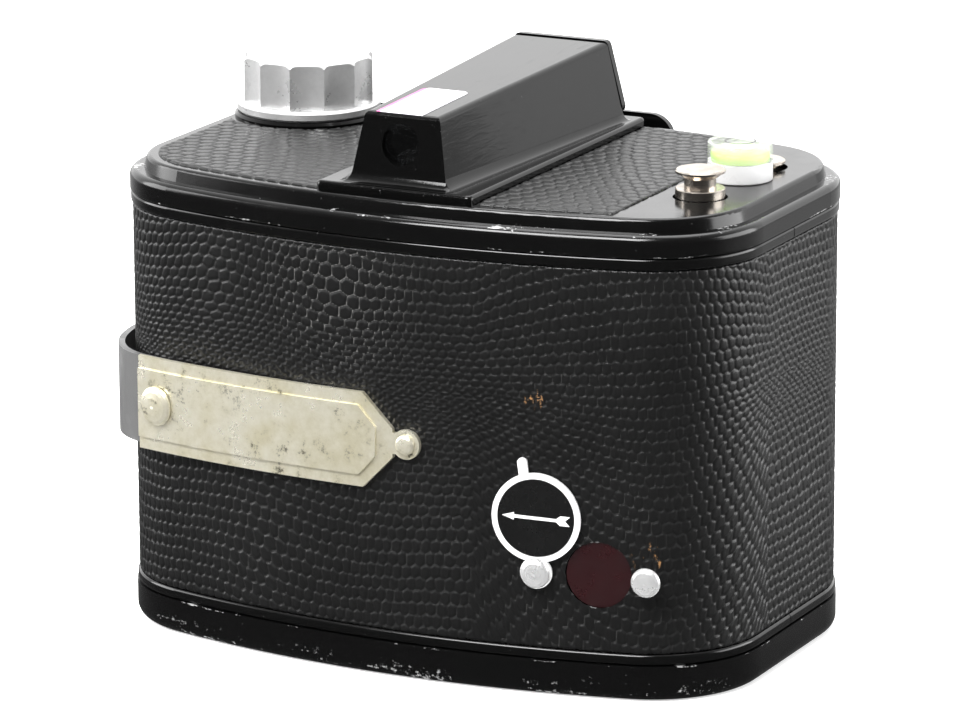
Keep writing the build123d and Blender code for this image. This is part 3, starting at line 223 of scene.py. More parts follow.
def leatherette(name, dust_share):
    """Black embossed leather cloth: the scales are in the mesh, and Relief marks their furrows."""
    n = Nodes(name)
    relief = n.add("ShaderNodeAttribute", attribute_name="Relief").outputs["Fac"]
    grain = n.noise(1500, 4, 0.65)
    cloud = n.noise(38, 4, 0.6)
    patches = n.math("ADD", n.math("MULTIPLY", cloud, 0.6), n.math("MULTIPLY", n.noise(240, 3), 0.5))
    dry = n.ramp(patches, 0.42, 0.75)
    furrow = n.ramp(relief, 0.0, 0.4, 1.0, 0.0)
    worn_patch = n.near(RUBBED_PLACE, 10.0 * MM, 1.2)
    rubbed = n.math("MAXIMUM", worn_patch, n.math("MULTIPLY", dry, dust_share))
    chalk = n.math("MULTIPLY", furrow, n.math("MULTIPLY", rubbed, 0.36))
    body = n.mix(cloud, grey(0.0035), grey(0.007))
    color = n.mix(chalk, body, (0.30, 0.295, 0.285, 1.0))
    for point, reach in SCUFFS:
        mark = n.ramp(n.noise(800, 4, 0.7, 0.0, n.stretched(1.0, 1.0, 0.5, (0.0, 0.6, 0.0))), 0.56, 0.66)
        mark = n.math("MULTIPLY", mark, n.near(point, reach, 0.7))
        color = n.mix(mark, color, (0.26, 0.13, 0.045, 1.0))
    rough = n.math("ADD", n.ramp(grain, 0.25, 0.75, 0.30, 0.46), n.math("MULTIPLY", furrow, 0.2))
    n.bump(n.math("ADD", grain, n.math("MULTIPLY", n.noise(5200, 2), 0.5)), 0.00005, 0.55)
    return n.finish(color, rough, 0.0, Specular_IOR_Level=0.42)


def metal(name, light, dark, rough, bumpiness=0.00001, stretch=(1.0, 1.0, 1.0), spots=0.0, share=1.0):
    """A plated or plain metal: cloudy tarnish, fine machining and, where asked, dark corrosion spots."""
    n = Nodes(name)
    fine = n.noise(900, 3, 0.6, 0.0, n.stretched(*stretch))
    cloud = n.noise(150, 5, 0.65)
    color = n.mix(n.ramp(cloud, 0.35, 0.7), light, dark)
    if spots:
        pits = n.math("MULTIPLY", n.ramp(n.noise(300, 6, 0.8), 0.55, 0.68), n.ramp(n.noise(80, 3), 0.46, 0.6))
        color = n.mix(n.math("MULTIPLY", pits, spots), color, (0.05, 0.045, 0.03, 1.0))
    value = n.math("ADD", n.ramp(cloud, 0.3, 0.7, rough * 0.75, rough * 1.3), n.math("MULTIPLY", fine, 0.06))
    n.bump(fine, bumpiness, 0.6)
    return n.finish(color, value, share)


def paint(name, color, worn, rough, speck=0.1):
    """A brushed or stove paint with faint unevenness and specks."""
    n = Nodes(name)
    shade = n.mix(n.noise(220, 4), color, worn)
    shade = n.mix(n.ramp(n.noise(1400, 3), 0.7, 0.76, 0.0, speck), shade, (0.2, 0.18, 0.15, 1.0))
    value = n.ramp(n.noise(300, 3), 0.3, 0.7, rough * 0.85, rough * 1.2)
    n.bump(n.noise(600, 3), 0.00001, 0.5)
    return n.finish(shade, value, 0.0)


def clear(name, tint, rough, ior, bend=1.0):
    """A clear part with faint surface haze."""
    n = Nodes(name)
    haze = n.ramp(n.noise(500, 4), 0.35, 0.8, rough, rough + 0.05)
    return n.finish(tint, haze, 0.0, IOR=ior, Transmission_Weight=bend)


def fluid_with_painted_glow():
    """The level's yellow-green fluid, greener at its edges, with a painted glow: a fixed emission makes it
    shine a little of itself.
    """
    n = Nodes("level_fluid")
    edge = n.add("ShaderNodeLayerWeight")
    edge.inputs["Blend"].default_value = 0.3
    color = n.mix(edge.outputs["Facing"], (0.42, 0.62, 0.06, 1.0), (0.20, 0.58, 0.02, 1.0))
    cloud = n.mix(n.noise(180, 2), color, (0.48, 0.66, 0.08, 1.0))
    rough = n.ramp(n.noise(300, 2), 0.3, 0.7, 0.08, 0.16)
    # Painted glow: a fixed emission brightens the fluid without any lamp
    n.shader.inputs["Emission Strength"].default_value = 0.35
    return n.finish(cloud, rough, 0.0, Emission_Color=color)


def clear_plastic():
    """Clear moulded plastic, lightly scuffed: mostly see-through, with a bright gloss."""
    n = Nodes("clear_acrylic")
    scuff = n.ramp(n.noise(700, 4), 0.45, 0.75, 0.04, 0.2)
    see = n.ramp(n.noise(300, 3), 0.3, 0.7, 0.12, 0.2)
    return n.finish((0.93, 0.97, 0.92, 1.0), scuff, 0.0, Alpha=see)


def label_paper():
    """Coated white paper with a pink band along one long edge and slight dirt in random patches."""
    n = Nodes("label_paper")
    x, y, z = n.axes()
    low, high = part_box("price_label")
    band = n.ramp(x, low.x + 0.0006, low.x + 0.0009, 1.0, 0.0)
    paper = n.mix(n.ramp(n.noise(260, 4), 0.45, 0.8), (0.84, 0.82, 0.86, 1.0), (0.62, 0.58, 0.64, 1.0))
    color = n.mix(band, paper, (0.66, 0.13, 0.38, 1.0))
    n.bump(n.noise(900, 3), 0.000012, 0.5)
    return n.finish(color, n.ramp(n.noise(150, 3), 0.3, 0.7, 0.28, 0.42), 0.0)


def strap_leather():
    """Smooth black strap leather: fine pores, long creases and rubbed lighter patches."""
    n = Nodes("strap_leather")
    pores = n.noise(2600, 3, 0.6)
    folds = n.noise(240, 4, 0.6, 0.6, n.stretched(1.0, 1.0, 0.25))
    rub = n.ramp(n.noise(120, 4), 0.5, 0.75, 0.0, 0.5)
    color = n.mix(rub, grey(0.09), grey(0.17))
    n.bump(n.math("ADD", n.math("MULTIPLY", pores, 0.5), folds), 0.00009, 0.7)
    return n.finish(color, n.ramp(folds, 0.3, 0.7, 0.28, 0.48), 0.0)


# Where the leather cloth is most rubbed (metres)
RUBBED_PLACE = (-0.009, -0.0415, 0.072)

# Scuffs in the leather cloth: (place, reach). Chips in the enamel: (place, reach, how far each axis
# is squeezed). Places and reaches are in metres.
LONG = (0.3, 0.6, 1.6)
ROUND = (1.0, 1.0, 1.0)
CHIPS = (
    ((0.0262, -0.0385, 0.0872), 0.0011, (0.7, 0.7, 1.2)),
    ((0.0435, -0.0358, 0.0871), 0.0008, ROUND),
    ((0.0472, -0.0345, 0.0868), 0.0010, (0.7, 0.7, 1.2)),
    ((-0.0400, -0.0375, 0.0020), 0.0040, LONG),
    ((-0.0200, -0.0405, 0.0018), 0.0045, LONG),
    ((0.0000, -0.0420, 0.0018), 0.0040, LONG),
    ((0.0340, -0.0375, 0.0028), 0.0034, (0.5, 0.8, 1.1)),
    ((0.0440, -0.0340, 0.0022), 0.0026, LONG),
    ((0.0560, -0.0270, 0.0022), 0.0030, LONG),
    ((0.0640, -0.0080, 0.0045), 0.0012, ROUND),
    ((0.0643, 0.0110, 0.0050), 0.0011, ROUND),
)
SCUFFS = (((0.0508, -0.0345, 0.0272), 0.0022), ((0.0300, -0.0385, 0.0560), 0.0016))


def build_materials():
    """Every slot's material by the record's slot name."""
    made = {
        "black_enamel": black_enamel(),
        "leatherette": leatherette("leatherette", 0.35),
        "top_cloth": leatherette("top_cloth", 0.15),
        "bakelite": bakelite(),
        "satin_aluminium": metal(
            "satin_aluminium", grey(0.72), grey(0.58), 0.3, 0.00003, (1, 1, 0.25), spots=0.12, share=0.7
        ),
        "worn_nickel": metal("worn_nickel", (0.62, 0.57, 0.51, 1), (0.42, 0.37, 0.32, 1), 0.22, spots=0.3),
        "old_nickel": metal(
            "old_nickel",
            (0.93, 0.89, 0.74, 1),
            (0.70, 0.65, 0.47, 1),
            0.3,
            0.00003,
            spots=1.0,
            share=0.75,
        ),
        "bright_rivet": metal("bright_rivet", grey(0.86), grey(0.76), 0.25, spots=0.15, share=0.7),
        "white_enamel": paint("white_enamel", grey(0.76), grey(0.66), 0.35),
        "black_paint": paint("black_paint", grey(0.004), grey(0.007), 0.25, 0.2),
        "red_pane": paint("red_pane", (0.024, 0.004, 0.005, 1), (0.015, 0.003, 0.004, 1), 0.3, 0.1),
        "strap_leather": strap_leather(),
        "clear_glass": clear("clear_glass", (0.93, 0.95, 0.97, 1), 0.01, 1.5),
        "clear_acrylic": clear_plastic(),
        "level_white": paint("level_white", grey(0.74), grey(0.66), 0.3, 0.03),
        "level_fluid": fluid_with_painted_glow(),
        "label_paper": label_paper(),
        "dull_black": paint("dull_black", grey(0.012), grey(0.02), 0.6),
        "steel": metal("steel", grey(0.58), grey(0.46), 0.28),
        "spring_steel": metal("spring_steel", grey(0.5), grey(0.38), 0.3),
        "brass_part": metal("brass_part", (0.75, 0.57, 0.28, 1), (0.6, 0.42, 0.18, 1), 0.3),
    }
    return made


materials = build_materials()
slots = {part["node"]: part["material_slot"] for part in frame["record"]["subparts"]}
for node, obj in frame["nodes"].items():
    obj.data.materials.clear()
    obj.data.materials.append(materials[slots[node]])

# ------------------------------------------------------------------ mesh helpers


def new_mesh(name, verts, faces, material, smooth=True):
    mesh = bpy.data.meshes.new(name)
    mesh.from_pydata([tuple(v) for v in verts], [], faces)
    mesh.materials.append(material)
    mesh.polygons.foreach_set("use_smooth", [smooth] * len(mesh.polygons))
    obj = bpy.data.objects.new(name, mesh)
    bpy.context.scene.collection.objects.link(obj)
    return obj


def outline_frame(distance):
    """Point and outward direction on the body's outline (inset 0), at a distance from the middle of the
    back, anticlockwise seen from above: back, +X end, front, -X end. Works on numpy arrays."""
    pieces = (
        (BACK_BOW * BACK_SWEEP, (0.0, BACK_CENTRE), BACK_BOW, -math.pi / 2),
        (CORNER * (math.pi / 2 - BACK_SWEEP), (CORNER_X, BACK_CORNER_Y), CORNER, -math.pi / 2 + BACK_SWEEP),
        (FRONT_CORNER_Y - BACK_CORNER_Y, None, 0.0, 0.0),
        (CORNER * (math.pi / 2 - FRONT_SWEEP), (CORNER_X, FRONT_CORNER_Y), CORNER, 0.0),
        (FRONT_BOW * FRONT_SWEEP, (0.0, FRONT_CENTRE), FRONT_BOW, math.pi / 2 - FRONT_SWEEP),
    )
    half = sum(piece[0] for piece in pieces)
    along = np.mod(distance + half, 2 * half) - half
    side = np.where(along < 0, -1.0, 1.0)
    left = np.abs(along)
    point = np.zeros((len(along), 2))
    out = np.zeros((len(along), 2))
    for length, centre, radius, start in pieces:
        inside = (left >= 0) & (left <= length + 1e-12)
        run = left[inside]
        if centre is None:
            point[inside] = np.stack([np.full(run.shape, WIDTH / 2), BACK_CORNER_Y + run], 1)
            out[inside] = (1.0, 0.0)
        else:
            angle = start + run / radius
            ray = np.stack([np.cos(angle), np.sin(angle)], 1)
            point[inside] = np.array(centre) + radius * ray
            out[inside] = ray
        left = np.where(inside, -1.0, left - length)
    point[:, 0] *= side
    out[:, 0] *= side
    return point, out, half


def scale_relief(across, rows, jitter=0.17):
    """Height (0 furrow to 1 top) of embossed scales where lattice coordinates are across and rows."""
    rng = np.random.default_rng(7)
    low_a, high_a = int(across.min()) - 3, int(across.max()) + 4
    low_b, high_b = int(rows.min()) - 3, int(rows.max()) + 4
    seeds = []
    for row in range(low_b, high_b):
        shift = 0.5 * (row % 2)
        wander = rng.uniform(-jitter, jitter, (high_a - low_a, 2))
        for n, column in enumerate(range(low_a, high_a)):
            seeds.append((column + shift + wander[n, 0], row + 0.7 * wander[n, 1], 0.0))
    tree = KDTree(len(seeds))
    for n, seed in enumerate(seeds):
        tree.insert(seed, n)
    tree.balance()
    height = np.zeros(len(across))
    for n, (a, b) in enumerate(zip(across.tolist(), rows.tolist())):
        near = tree.find_n((a, b, 0.0), 2)
        height[n] = near[1][2] - near[0][2]
    return height


def paint_relief(obj, values):
    layer = obj.data.attributes.new("Relief", "FLOAT", "POINT")
    layer.data.foreach_set("value", np.asarray(values, np.float32))


# Where the scales of the leather cloth are drawn larger or, below 0, smaller: (along, up, reach, share)
SWELLS = (
    (-9.0, 71.0, 12.0, 0.34),
    (-36.0, 70.0, 10.0, 0.28),
    (-20.0, 47.0, 13.0, 0.18),
    (-24.0, 22.0, 16.0, 0.22),
    (44.0, 52.0, 20.0, -0.16),
    (-62.0, 52.0, 16.0, -0.3),
    (88.0, 45.0, 26.0, 0.2),
)
WHORL = (52.0, 57.0)

# Size of a scale on the wrap and on the top, in millimetres, and the depth of the furrows
SCALE_WIDE = 2.0
SCALE_HIGH = 2.3
TOP_SCALE_WIDE = 2.9
TOP_SCALE_HIGH = 2.6
FURROW_DEPTH = 0.26 * MM
FURROW_WIDTH = 0.26

# Stretch of the outline near enough to be seen closely, and the steps of the wrap's mesh
FINE_START = -64.0 * MM
FINE_END = 108.0 * MM
FINE_STEP = 0.24 * MM
COARSE_STEP = 0.5 * MM
WRAP_ROWS = 300


def wrap_lattice(along, up):
    """Where each point of the wrap, in millimetres along and up, lies among the rows of scales."""
    a = along.copy()
    u = up.copy()
    for middle, height, reach, share in SWELLS:
        fade = share * np.exp(-((along - middle) ** 2 + (up - height) ** 2) / reach ** 2)
        a -= (along - middle) * fade
        u -= (up - height) * fade
    over = np.tanh((up - WHORL[1]) / 10.0)
    arch = np.where(over > 0, 0.008, 0.021) * over * np.clip(along - WHORL[0], -34, 30) ** 2
    lane = 2.2 * np.sin(along / 14.0 + 1.3) * np.exp(-((along + 26) / 30.0) ** 2)
    rows = (u + arch + lane + 0.5 * np.sin(up / 9.0 + along / 23.0)) / SCALE_HIGH
    across = (a + 2.4 * np.sin(up / 16.0 + along / 40.0)) / SCALE_WIDE
    return across, rows


def inlay_lattice(x, y):
    """The same for the top inlay, from x and y in millimetres."""
    rows = (y + 2.5 * np.sin(x / 15.0) + 0.09 * x) / TOP_SCALE_HIGH
    across = (x + 1.6 * np.sin(y / 11.0 + x / 25.0)) / TOP_SCALE_WIDE
    return across, rows


def furrowed(across, rows, shape, dome=0.05):
    """(Furrow mask, lift in metres) of the embossing: flat-topped scales with narrow, steep furrows."""
    height = scale_relief(across.ravel(), rows.ravel()).reshape(shape)
    mound = np.clip(height / FURROW_WIDTH, 0, 1)
    crown = np.clip(height / 0.9, 0, 1)
    lift = (mound ** 0.9 - 1.0) * FURROW_DEPTH + (crown - 1.0) * dome * MM
    return mound, lift


def cut_round(points, faces, centre, radius):
    """Takes the faces inside a round hole away, and moves the hole's rim onto the circle. points is a
    flat array of (across, up) places on the skin; the returned factors move each point about centre."""
    away = points - np.array(centre)
    gap = np.hypot(away[:, 0], away[:, 1])
    inside = gap < radius
    kept = [face for face in faces if not all(inside[v] for v in face)]
    used = np.zeros(len(points), bool)
    for face in faces:
        if all(inside[v] for v in face):
            used[list(face)] = True
    rim = np.zeros(len(points), bool)
    for face in kept:
        for v in face:
            rim[v] = rim[v] or used[v] or inside[v]
    factor = np.where(rim, radius / np.maximum(gap, 1e-9), 1.0)
    return kept, factor


def leather_wrap():
    """The body's leather cloth as one displaced skin, folded in to the shell along its cut edges."""
    low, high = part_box("body_leatherette")
    half = outline_frame(np.array([0.0]))[2]
    fine = np.arange(FINE_START, FINE_END, FINE_STEP)
    coarse = np.arange(FINE_END, 2 * half + FINE_START, COARSE_STEP)
    along = np.concatenate([fine, coarse])
    up = np.linspace(low.z, high.z, WRAP_ROWS)
    columns, rows = len(along), len(up)
    a, u = np.meshgrid(along / MM, up / MM, indexing="ij")
    a = np.where(a > half / MM, a - 2 * half / MM, a)
    mound, lift = furrowed(*wrap_lattice(a, u), a.shape)
    edge = np.minimum(u - u[0, 0], u[0, -1] - u)
    lift -= np.clip(1.0 - edge / 0.4, 0, 1) ** 2 * 0.2 * MM
    deep = rows + 2
    faces = []
    for i in range(columns):
        j = (i + 1) % columns
        for k in range(deep - 1):
            faces.append((i * deep + k, j * deep + k, j * deep + k + 1, i * deep + k + 1))
    z = u * MM
    ragged = 0.12 * np.sin(a[:, 0] * 2.1 + 3 * np.sin(a[:, 0] * 0.7)) + 0.1 * np.sin(a[:, 0] * 5.3)
    z[:, 0] += np.abs(ragged) * MM
    z[:, -1] -= np.abs(ragged) * MM
    pad = ((0, 0), (1, 1))
    z = np.pad(z, pad, "edge")
    depth = np.pad(lift - LEATHER_INSET, pad, constant_values=-SHELL_INSET)
    place = np.repeat(along[:, None], deep, 1)
    flat = np.stack([place.ravel(), z.ravel()], 1)
    for run, height, radius in wrap_holes(half):
        faces, factor = cut_round(flat, faces, (run, height), radius)
        flat = np.array((run, height)) + (flat - np.array((run, height))) * factor[:, None]
    point, out, _ = outline_frame(flat[:, 0])
    xy = point + out * depth.ravel()[:, None]
    obj = new_mesh("leather_wrap", np.column_stack([xy, flat[:, 1]]), faces, materials["leatherette"])
    paint_relief(obj, np.pad(mound, pad).ravel())
    return obj


def wrap_holes(half):
    """(Distance along the outline, height, radius) of the window's and the lens's holes in the cloth."""
    pane_low, pane_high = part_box("red_window_pane")
    bezel_low, bezel_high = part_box("lens_bezel")
    middle = (pane_low + pane_high) / 2
    window = BACK_BOW * math.asin(middle.x / (BACK_BOW - LEATHER_INSET))
    pane = (pane_high.z - pane_low.z) / 2
    bezel = (bezel_high.z - bezel_low.z) / 2
    return ((window, middle.z, pane), (half, (bezel_low.z + bezel_high.z) / 2, bezel + 0.2 * MM))


INLAY_INSET = 5.5 * MM
KNOB_HOLE = 15.8 * MM


def inlay_patch(x_low, x_high):
    """Points, faces and furrow mask of a stretch of the top inlay between two values of x."""
    low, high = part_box("top_inlay")
    xs = np.arange(x_low, x_high + 1e-9, 0.27 * MM)
    share = np.linspace(0.0, 1.0, 255)
    depth = edge_depth(xs, INLAY_INSET)
    x = np.repeat(xs[:, None], len(share), 1)
    y = depth[0][:, None] + (depth[1] - depth[0])[:, None] * share[None, :]
    mound, lift = furrowed(*inlay_lattice(x / MM, y / MM), x.shape, 0.015)
    margin = np.minimum(y - depth[0][:, None], depth[1][:, None] - y)
    margin = np.minimum(margin, np.minimum(x - x_low, x_high - x)) / MM
    lift -= np.clip(1.0 - margin / 0.5, 0, 1) ** 2 * 0.25 * MM
    ragged = 0.1 * MM * np.sin(y / MM * 2.3 + 2 * np.sin(y / MM * 0.9))
    x[0] += np.abs(ragged[0])
    x[-1] -= np.abs(ragged[-1])
    pad = ((1, 1), (1, 1))
    z = np.pad(high.z + lift, pad, constant_values=low.z)
    points = np.stack([np.pad(x, pad, "edge").ravel(), np.pad(y, pad, "edge").ravel(), z.ravel()], 1)
    columns, rows = z.shape
    faces = []
    for i in range(columns - 1):
        for k in range(rows - 1):
            n = i * rows + k
            faces.append((n, n + rows, n + rows + 1, n + 1))
    return points, faces, np.pad(mound, pad).ravel()


def edge_depth(xs, inset):
    """(Lowest, highest) y of the outline, drawn inset, at each x."""
    corner = np.sqrt(np.maximum((CORNER - inset) ** 2 - np.maximum(np.abs(xs) - CORNER_X, 0) ** 2, 0))
    back_bow = BACK_CENTRE - np.sqrt((BACK_BOW - inset) ** 2 - xs ** 2)
    front_bow = FRONT_CENTRE + np.sqrt((FRONT_BOW - inset) ** 2 - xs ** 2)
    reach = (BACK_BOW - inset) * math.sin(BACK_SWEEP)
    back = np.where(np.abs(xs) < reach, back_bow, BACK_CORNER_Y - corner)
    reach = (FRONT_BOW - inset) * math.sin(FRONT_SWEEP)
    front = np.where(np.abs(xs) < reach, front_bow, FRONT_CORNER_Y + corner)
    return back, front


def top_leather():
    """The leather cloth let in to the top, in two stretches beside the finder's flange."""
    low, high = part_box("top_inlay")
    flange_low, flange_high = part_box("finder_housing")
    seat_low, seat_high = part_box("knob_seat")
    knob = ((seat_low.x + seat_high.x) / 2, (seat_low.y + seat_high.y) / 2)
    points, faces, mask = inlay_patch(low.x + 0.3 * MM, flange_low.x - 0.1 * MM)
    faces, factor = cut_round(points[:, :2], faces, knob, KNOB_HOLE)
    points[:, :2] = np.array(knob) + (points[:, :2] - np.array(knob)) * factor[:, None]
    others, more, shade = inlay_patch(flange_high.x + 0.1 * MM, high.x)
    faces += [tuple(v + len(points) for v in face) for face in more]
    points = np.concatenate([points, others])
    obj = new_mesh("top_leather", points, faces, materials["top_cloth"])
    paint_relief(obj, np.concatenate([mask, shade]))
    return obj


wrap = leather_wrap()
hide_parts("body_leatherette")
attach(wrap, "case")
inlay = top_leather()
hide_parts("top_inlay")
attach(inlay, "case")

# ------------------------------------------------------------------ window cover, level and finder details


def add_piece(obj, body):
    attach(obj, body)
    return obj


def flat_shape(name, outline, place, thick, material):
    """A thin plate with straight sides from an outline of (across, up) points on the plane of place."""
    count = len(outline)
    middle = Vector((sum(p[0] for p in outline) / count, sum(p[1] for p in outline) / count))
    verts = []
    for share, height in ((0.0, 0.0), (0.0, 0.6 * thick), (0.05, thick)):
        for across, up in outline:
            verts.append(place @ Vector((across, up, height)))
    faces = [tuple(range(2 * count, 3 * count))]
    for ring in (0, 1):
        for n in range(count):
            m = (n + 1) % count
            base = ring * count
            faces.append((base + n, base + m, base + count + m, base + count + n))
    return new_mesh(name, verts, faces, material, False)


COVER_PIVOT_X = 30.65 * MM


def cover_place():
    """The matrix of the window cover's face: origin at its middle, X along the back, Z outward."""
    low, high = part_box("window_cover_face")
    middle = (low + high) / 2
    turned = math.asin(COVER_PIVOT_X / (BACK_BOW - LEATHER_INSET))
    out = Vector((math.sin(turned), -math.cos(turned), 0.0))
    along = Vector((math.cos(turned), math.sin(turned), 0.0))
    place = Matrix((along, Vector((0, 0, 1)), out)).transposed().to_4x4()
    place.translation = middle + out * 0.06 * MM
    return place


def arrow_outline():
    """An arrow 13 mm long that points to -X: head, shaft and notched tail, as (across, up) points."""
    upper = [(-6.4, 0.0), (-4.1, 0.72), (-4.1, 0.3), (3.9, 0.3), (4.7, 0.92), (6.5, 0.9), (5.6, 0.0)]
    lower = [(x, -y) for x, y in reversed(upper[1:-1])]
    tilt = math.radians(-1.8)
    points = []
    for x, y in upper + lower:
        across = (x * math.cos(tilt) - y * math.sin(tilt)) * MM
        up = (x * math.sin(tilt) + y * math.cos(tilt)) * MM
        points.append((across, up))
    return points


arrow = flat_shape("cover_arrow", arrow_outline(), cover_place(), 0.05 * MM, materials["white_enamel"])
add_piece(arrow, "cover")


def ring_mesh(name, centre, inner, outer, low, high, material, steps=96):
    """A thin round ring with softened edges, standing upright on the Z axis."""
    soft = 0.25 * (high - low)
    profile = ((inner, low), (outer, low), (outer, high - soft), (outer - soft, high), (inner + soft, high))
    profile += ((inner, high - soft),)
    verts = []
    for n in range(steps):
        turn = 2 * math.pi * n / steps
        for radius, z in profile:
            verts.append((centre.x + radius * math.cos(turn), centre.y + radius * math.sin(turn), z))
    count = len(profile)
    faces = []
    for n in range(steps):
        m = (n + 1) % steps
        for k in range(count):
            l = (k + 1) % count
            faces.append((n * count + k, m * count + k, m * count + l, n * count + l))
    return new_mesh(name, verts, faces, material)


def level_details():
    """The level's fluid, the clear rim and printed ring on its top, and the bubble under them."""
    low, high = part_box("level_vial")
    centre = (low + high) / 2
    bands = (
        ("level_ring", 2.6 * MM, 2.95 * MM, 0.02 * MM, 0.03 * MM, "black_paint"),
        ("level_rim", 5.3 * MM, 6.0 * MM, 0.3 * MM, 0.02 * MM, "clear_acrylic"),
    )
    for name, inner, outer, below, above, look in bands:
        band = ring_mesh(name, centre, inner, outer, high.z - below, high.z + above, materials[look])
        add_piece(band, "case")
    liquid_low, liquid_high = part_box("level_liquid")
    reach = (liquid_high.x - liquid_low.x) / 2 - 0.08 * MM
    bottom = liquid_low.z + 0.01 * MM
    top = liquid_high.z - 0.1 * MM
    drum = ring_mesh("level_fluid", centre, 0.01 * MM, reach, bottom, top, materials["level_fluid"])
    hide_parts("level_liquid")
    add_piece(drum, "case")
    mesh = bmesh.new()
    bmesh.ops.create_icosphere(mesh, subdivisions=4, radius=1.0)
    for vert in mesh.verts:
        vert.co = Vector((vert.co.x * 1.9, vert.co.y * 1.9, vert.co.z * 0.45)) * MM
        vert.co += Vector((centre.x + 0.5 * MM, centre.y + 0.3 * MM, liquid_high.z + 0.1 * MM))
    data = bpy.data.meshes.new("level_bubble")
    mesh.to_mesh(data)
    mesh.free()
    data.polygons.foreach_set("use_smooth", [True] * len(data.polygons))
    data.materials.append(materials["clear_acrylic"])
    bubble = bpy.data.objects.new("level_bubble", data)
    bpy.context.scene.collection.objects.link(bubble)
    add_piece(bubble, "case")


level_details()


# The finder's walls at the height of its flange: how far they stand from the middle, how much they
# lean in for each unit of height, and the radius of the hollow curve at the back and the front
FOOT_HEIGHT = 91.9 * MM
SIDE_LEAN = (10.2 - 7.6) / (104.8 - 90.0)
REAR_LEAN = math.tan(math.radians(8.8))
REAR_WALL_Y = -35.4 * MM + REAR_LEAN * 1.9 * MM
FRONT_WALL_Y = 33.0 * MM
FOOT_CORNERS = ((REAR_WALL_Y, 9.87 * MM, 2.0 * MM), (FRONT_WALL_Y, 13.5 * MM, 1.2 * MM))


def foot_outline(middle):
    """(Place, outward direction, curve radius) round the finder's walls, with rounded corners."""
    turns = ((REAR_WALL_Y, -1, 180), (REAR_WALL_Y, 1, 270), (FRONT_WALL_Y, 1, 0), (FRONT_WALL_Y, -1, 90))
    outline = []
    for y, side, angle in turns:
        foot, reach = next((wide, curve) for place, wide, curve in FOOT_CORNERS if place == y)
        for k in range(9):
            turn = math.radians(angle + 90 * k / 8)
            out = Vector((math.cos(turn), math.sin(turn)))
            outline.append((Vector((middle + side * foot, y)), out, reach))
    return outline


def finder_foot():
    """The hollow curve where the finder's walls flare into their flange, run all round the walls."""
    low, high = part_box("finder_housing")
    middle = (low.x + high.x) / 2
    steps = 10
    outline = foot_outline(middle)
    stations = []
    for n, (point, out, reach) in enumerate(outline):
        stations.append((point, out, reach))
        following = outline[(n + 1) % len(outline)]
        if abs(following[0].y - point.y) > 10 * MM:
            for k in range(1, 24):
                between = reach + (following[2] - reach) * k / 24
                stations.append((point.lerp(following[0], k / 24), out, between))
    verts = []
    for point, out, reach in stations:
        for k in range(steps + 1):
            turn = math.pi / 2 * k / steps
            spread = reach * (1 - math.sin(turn))
            rise = reach * (1 - math.cos(turn))
            base_x = point.x - math.copysign(SIDE_LEAN * rise, point.x - middle)
            base_y = point.y + (REAR_LEAN * rise if point.y < 0.99 * REAR_WALL_Y else 0.0)
            place = Vector((base_x, base_y)) + out * (spread + 0.02 * MM)
            verts.append((place.x, place.y, FOOT_HEIGHT + rise + 0.01 * MM))
    count = steps + 1
    faces = []
    for n in range(len(stations)):
        m = (n + 1) % len(stations)
        for k in range(steps):
            faces.append((n * count + k, m * count + k, m * count + k + 1, n * count + k + 1))
    return new_mesh("finder_foot", verts, faces, materials["bakelite"])


add_piece(finder_foot(), "case")


def soften(node, width, segments=2):
    """Rounds a CAD node's hard edges a little, so that they catch the light."""
    bevel = frame["nodes"][node].modifiers.new("soft_edges", "BEVEL")
    bevel.width = width
    bevel.segments = segments
    bevel.limit_method = "ANGLE"
    bevel.angle_limit = math.radians(35)
    bevel.harden_normals = False


for node in ("rear_strap_plate", "front_strap_plate", "window_cover"):
    soften(node, 0.18 * MM)
soften("finder_housing", 0.4 * MM, 3)

# ------------------------------------------------------------------ camera, light and floor


CAMERA_PLACE = (0.48188, -0.96053, 0.3331)
CAMERA_ANGLES = (26.67, 14.72, -0.25)
CAMERA_LENS = 220.15


def aim_camera():
    """The camera stands behind the object's back right corner, a little above its top."""
    data = bpy.data.cameras.new("camera")
    data.lens = CAMERA_LENS
    data.sensor_width = 36.0
    data.clip_start = 0.05
    cam = bpy.data.objects.new("camera", data)
    bpy.context.scene.collection.objects.link(cam)
    azimuth, elevation, roll = (math.radians(v) for v in CAMERA_ANGLES)
    flat = math.cos(elevation)
    back = Vector((math.sin(azimuth) * flat, -math.cos(azimuth) * flat, math.sin(elevation)))
    right = Vector((math.cos(azimuth), math.sin(azimuth), 0.0))
    up = back.cross(right)
    turned = right * math.cos(roll) + up * math.sin(roll)
    up = up * math.cos(roll) - right * math.sin(roll)
    place = Matrix((turned, up, back)).transposed().to_4x4()
    place.translation = Vector(CAMERA_PLACE)
    cam.matrix_world = place
    bpy.context.scene.camera = cam


def lamp(name, place, target, size, power, height=None):
    """A soft rectangular lamp at place, pointing at target."""
    data = bpy.data.lights.new(name, "AREA")
    data.shape = "RECTANGLE"
    data.size = size
    data.size_y = height or size
    data.energy = power
    obj = bpy.data.objects.new(name, data)
    bpy.context.scene.collection.objects.link(obj)
    obj.location = place
    obj.rotation_euler = (Vector(target) - Vector(place)).to_track_quat("-Z", "Y").to_euler()


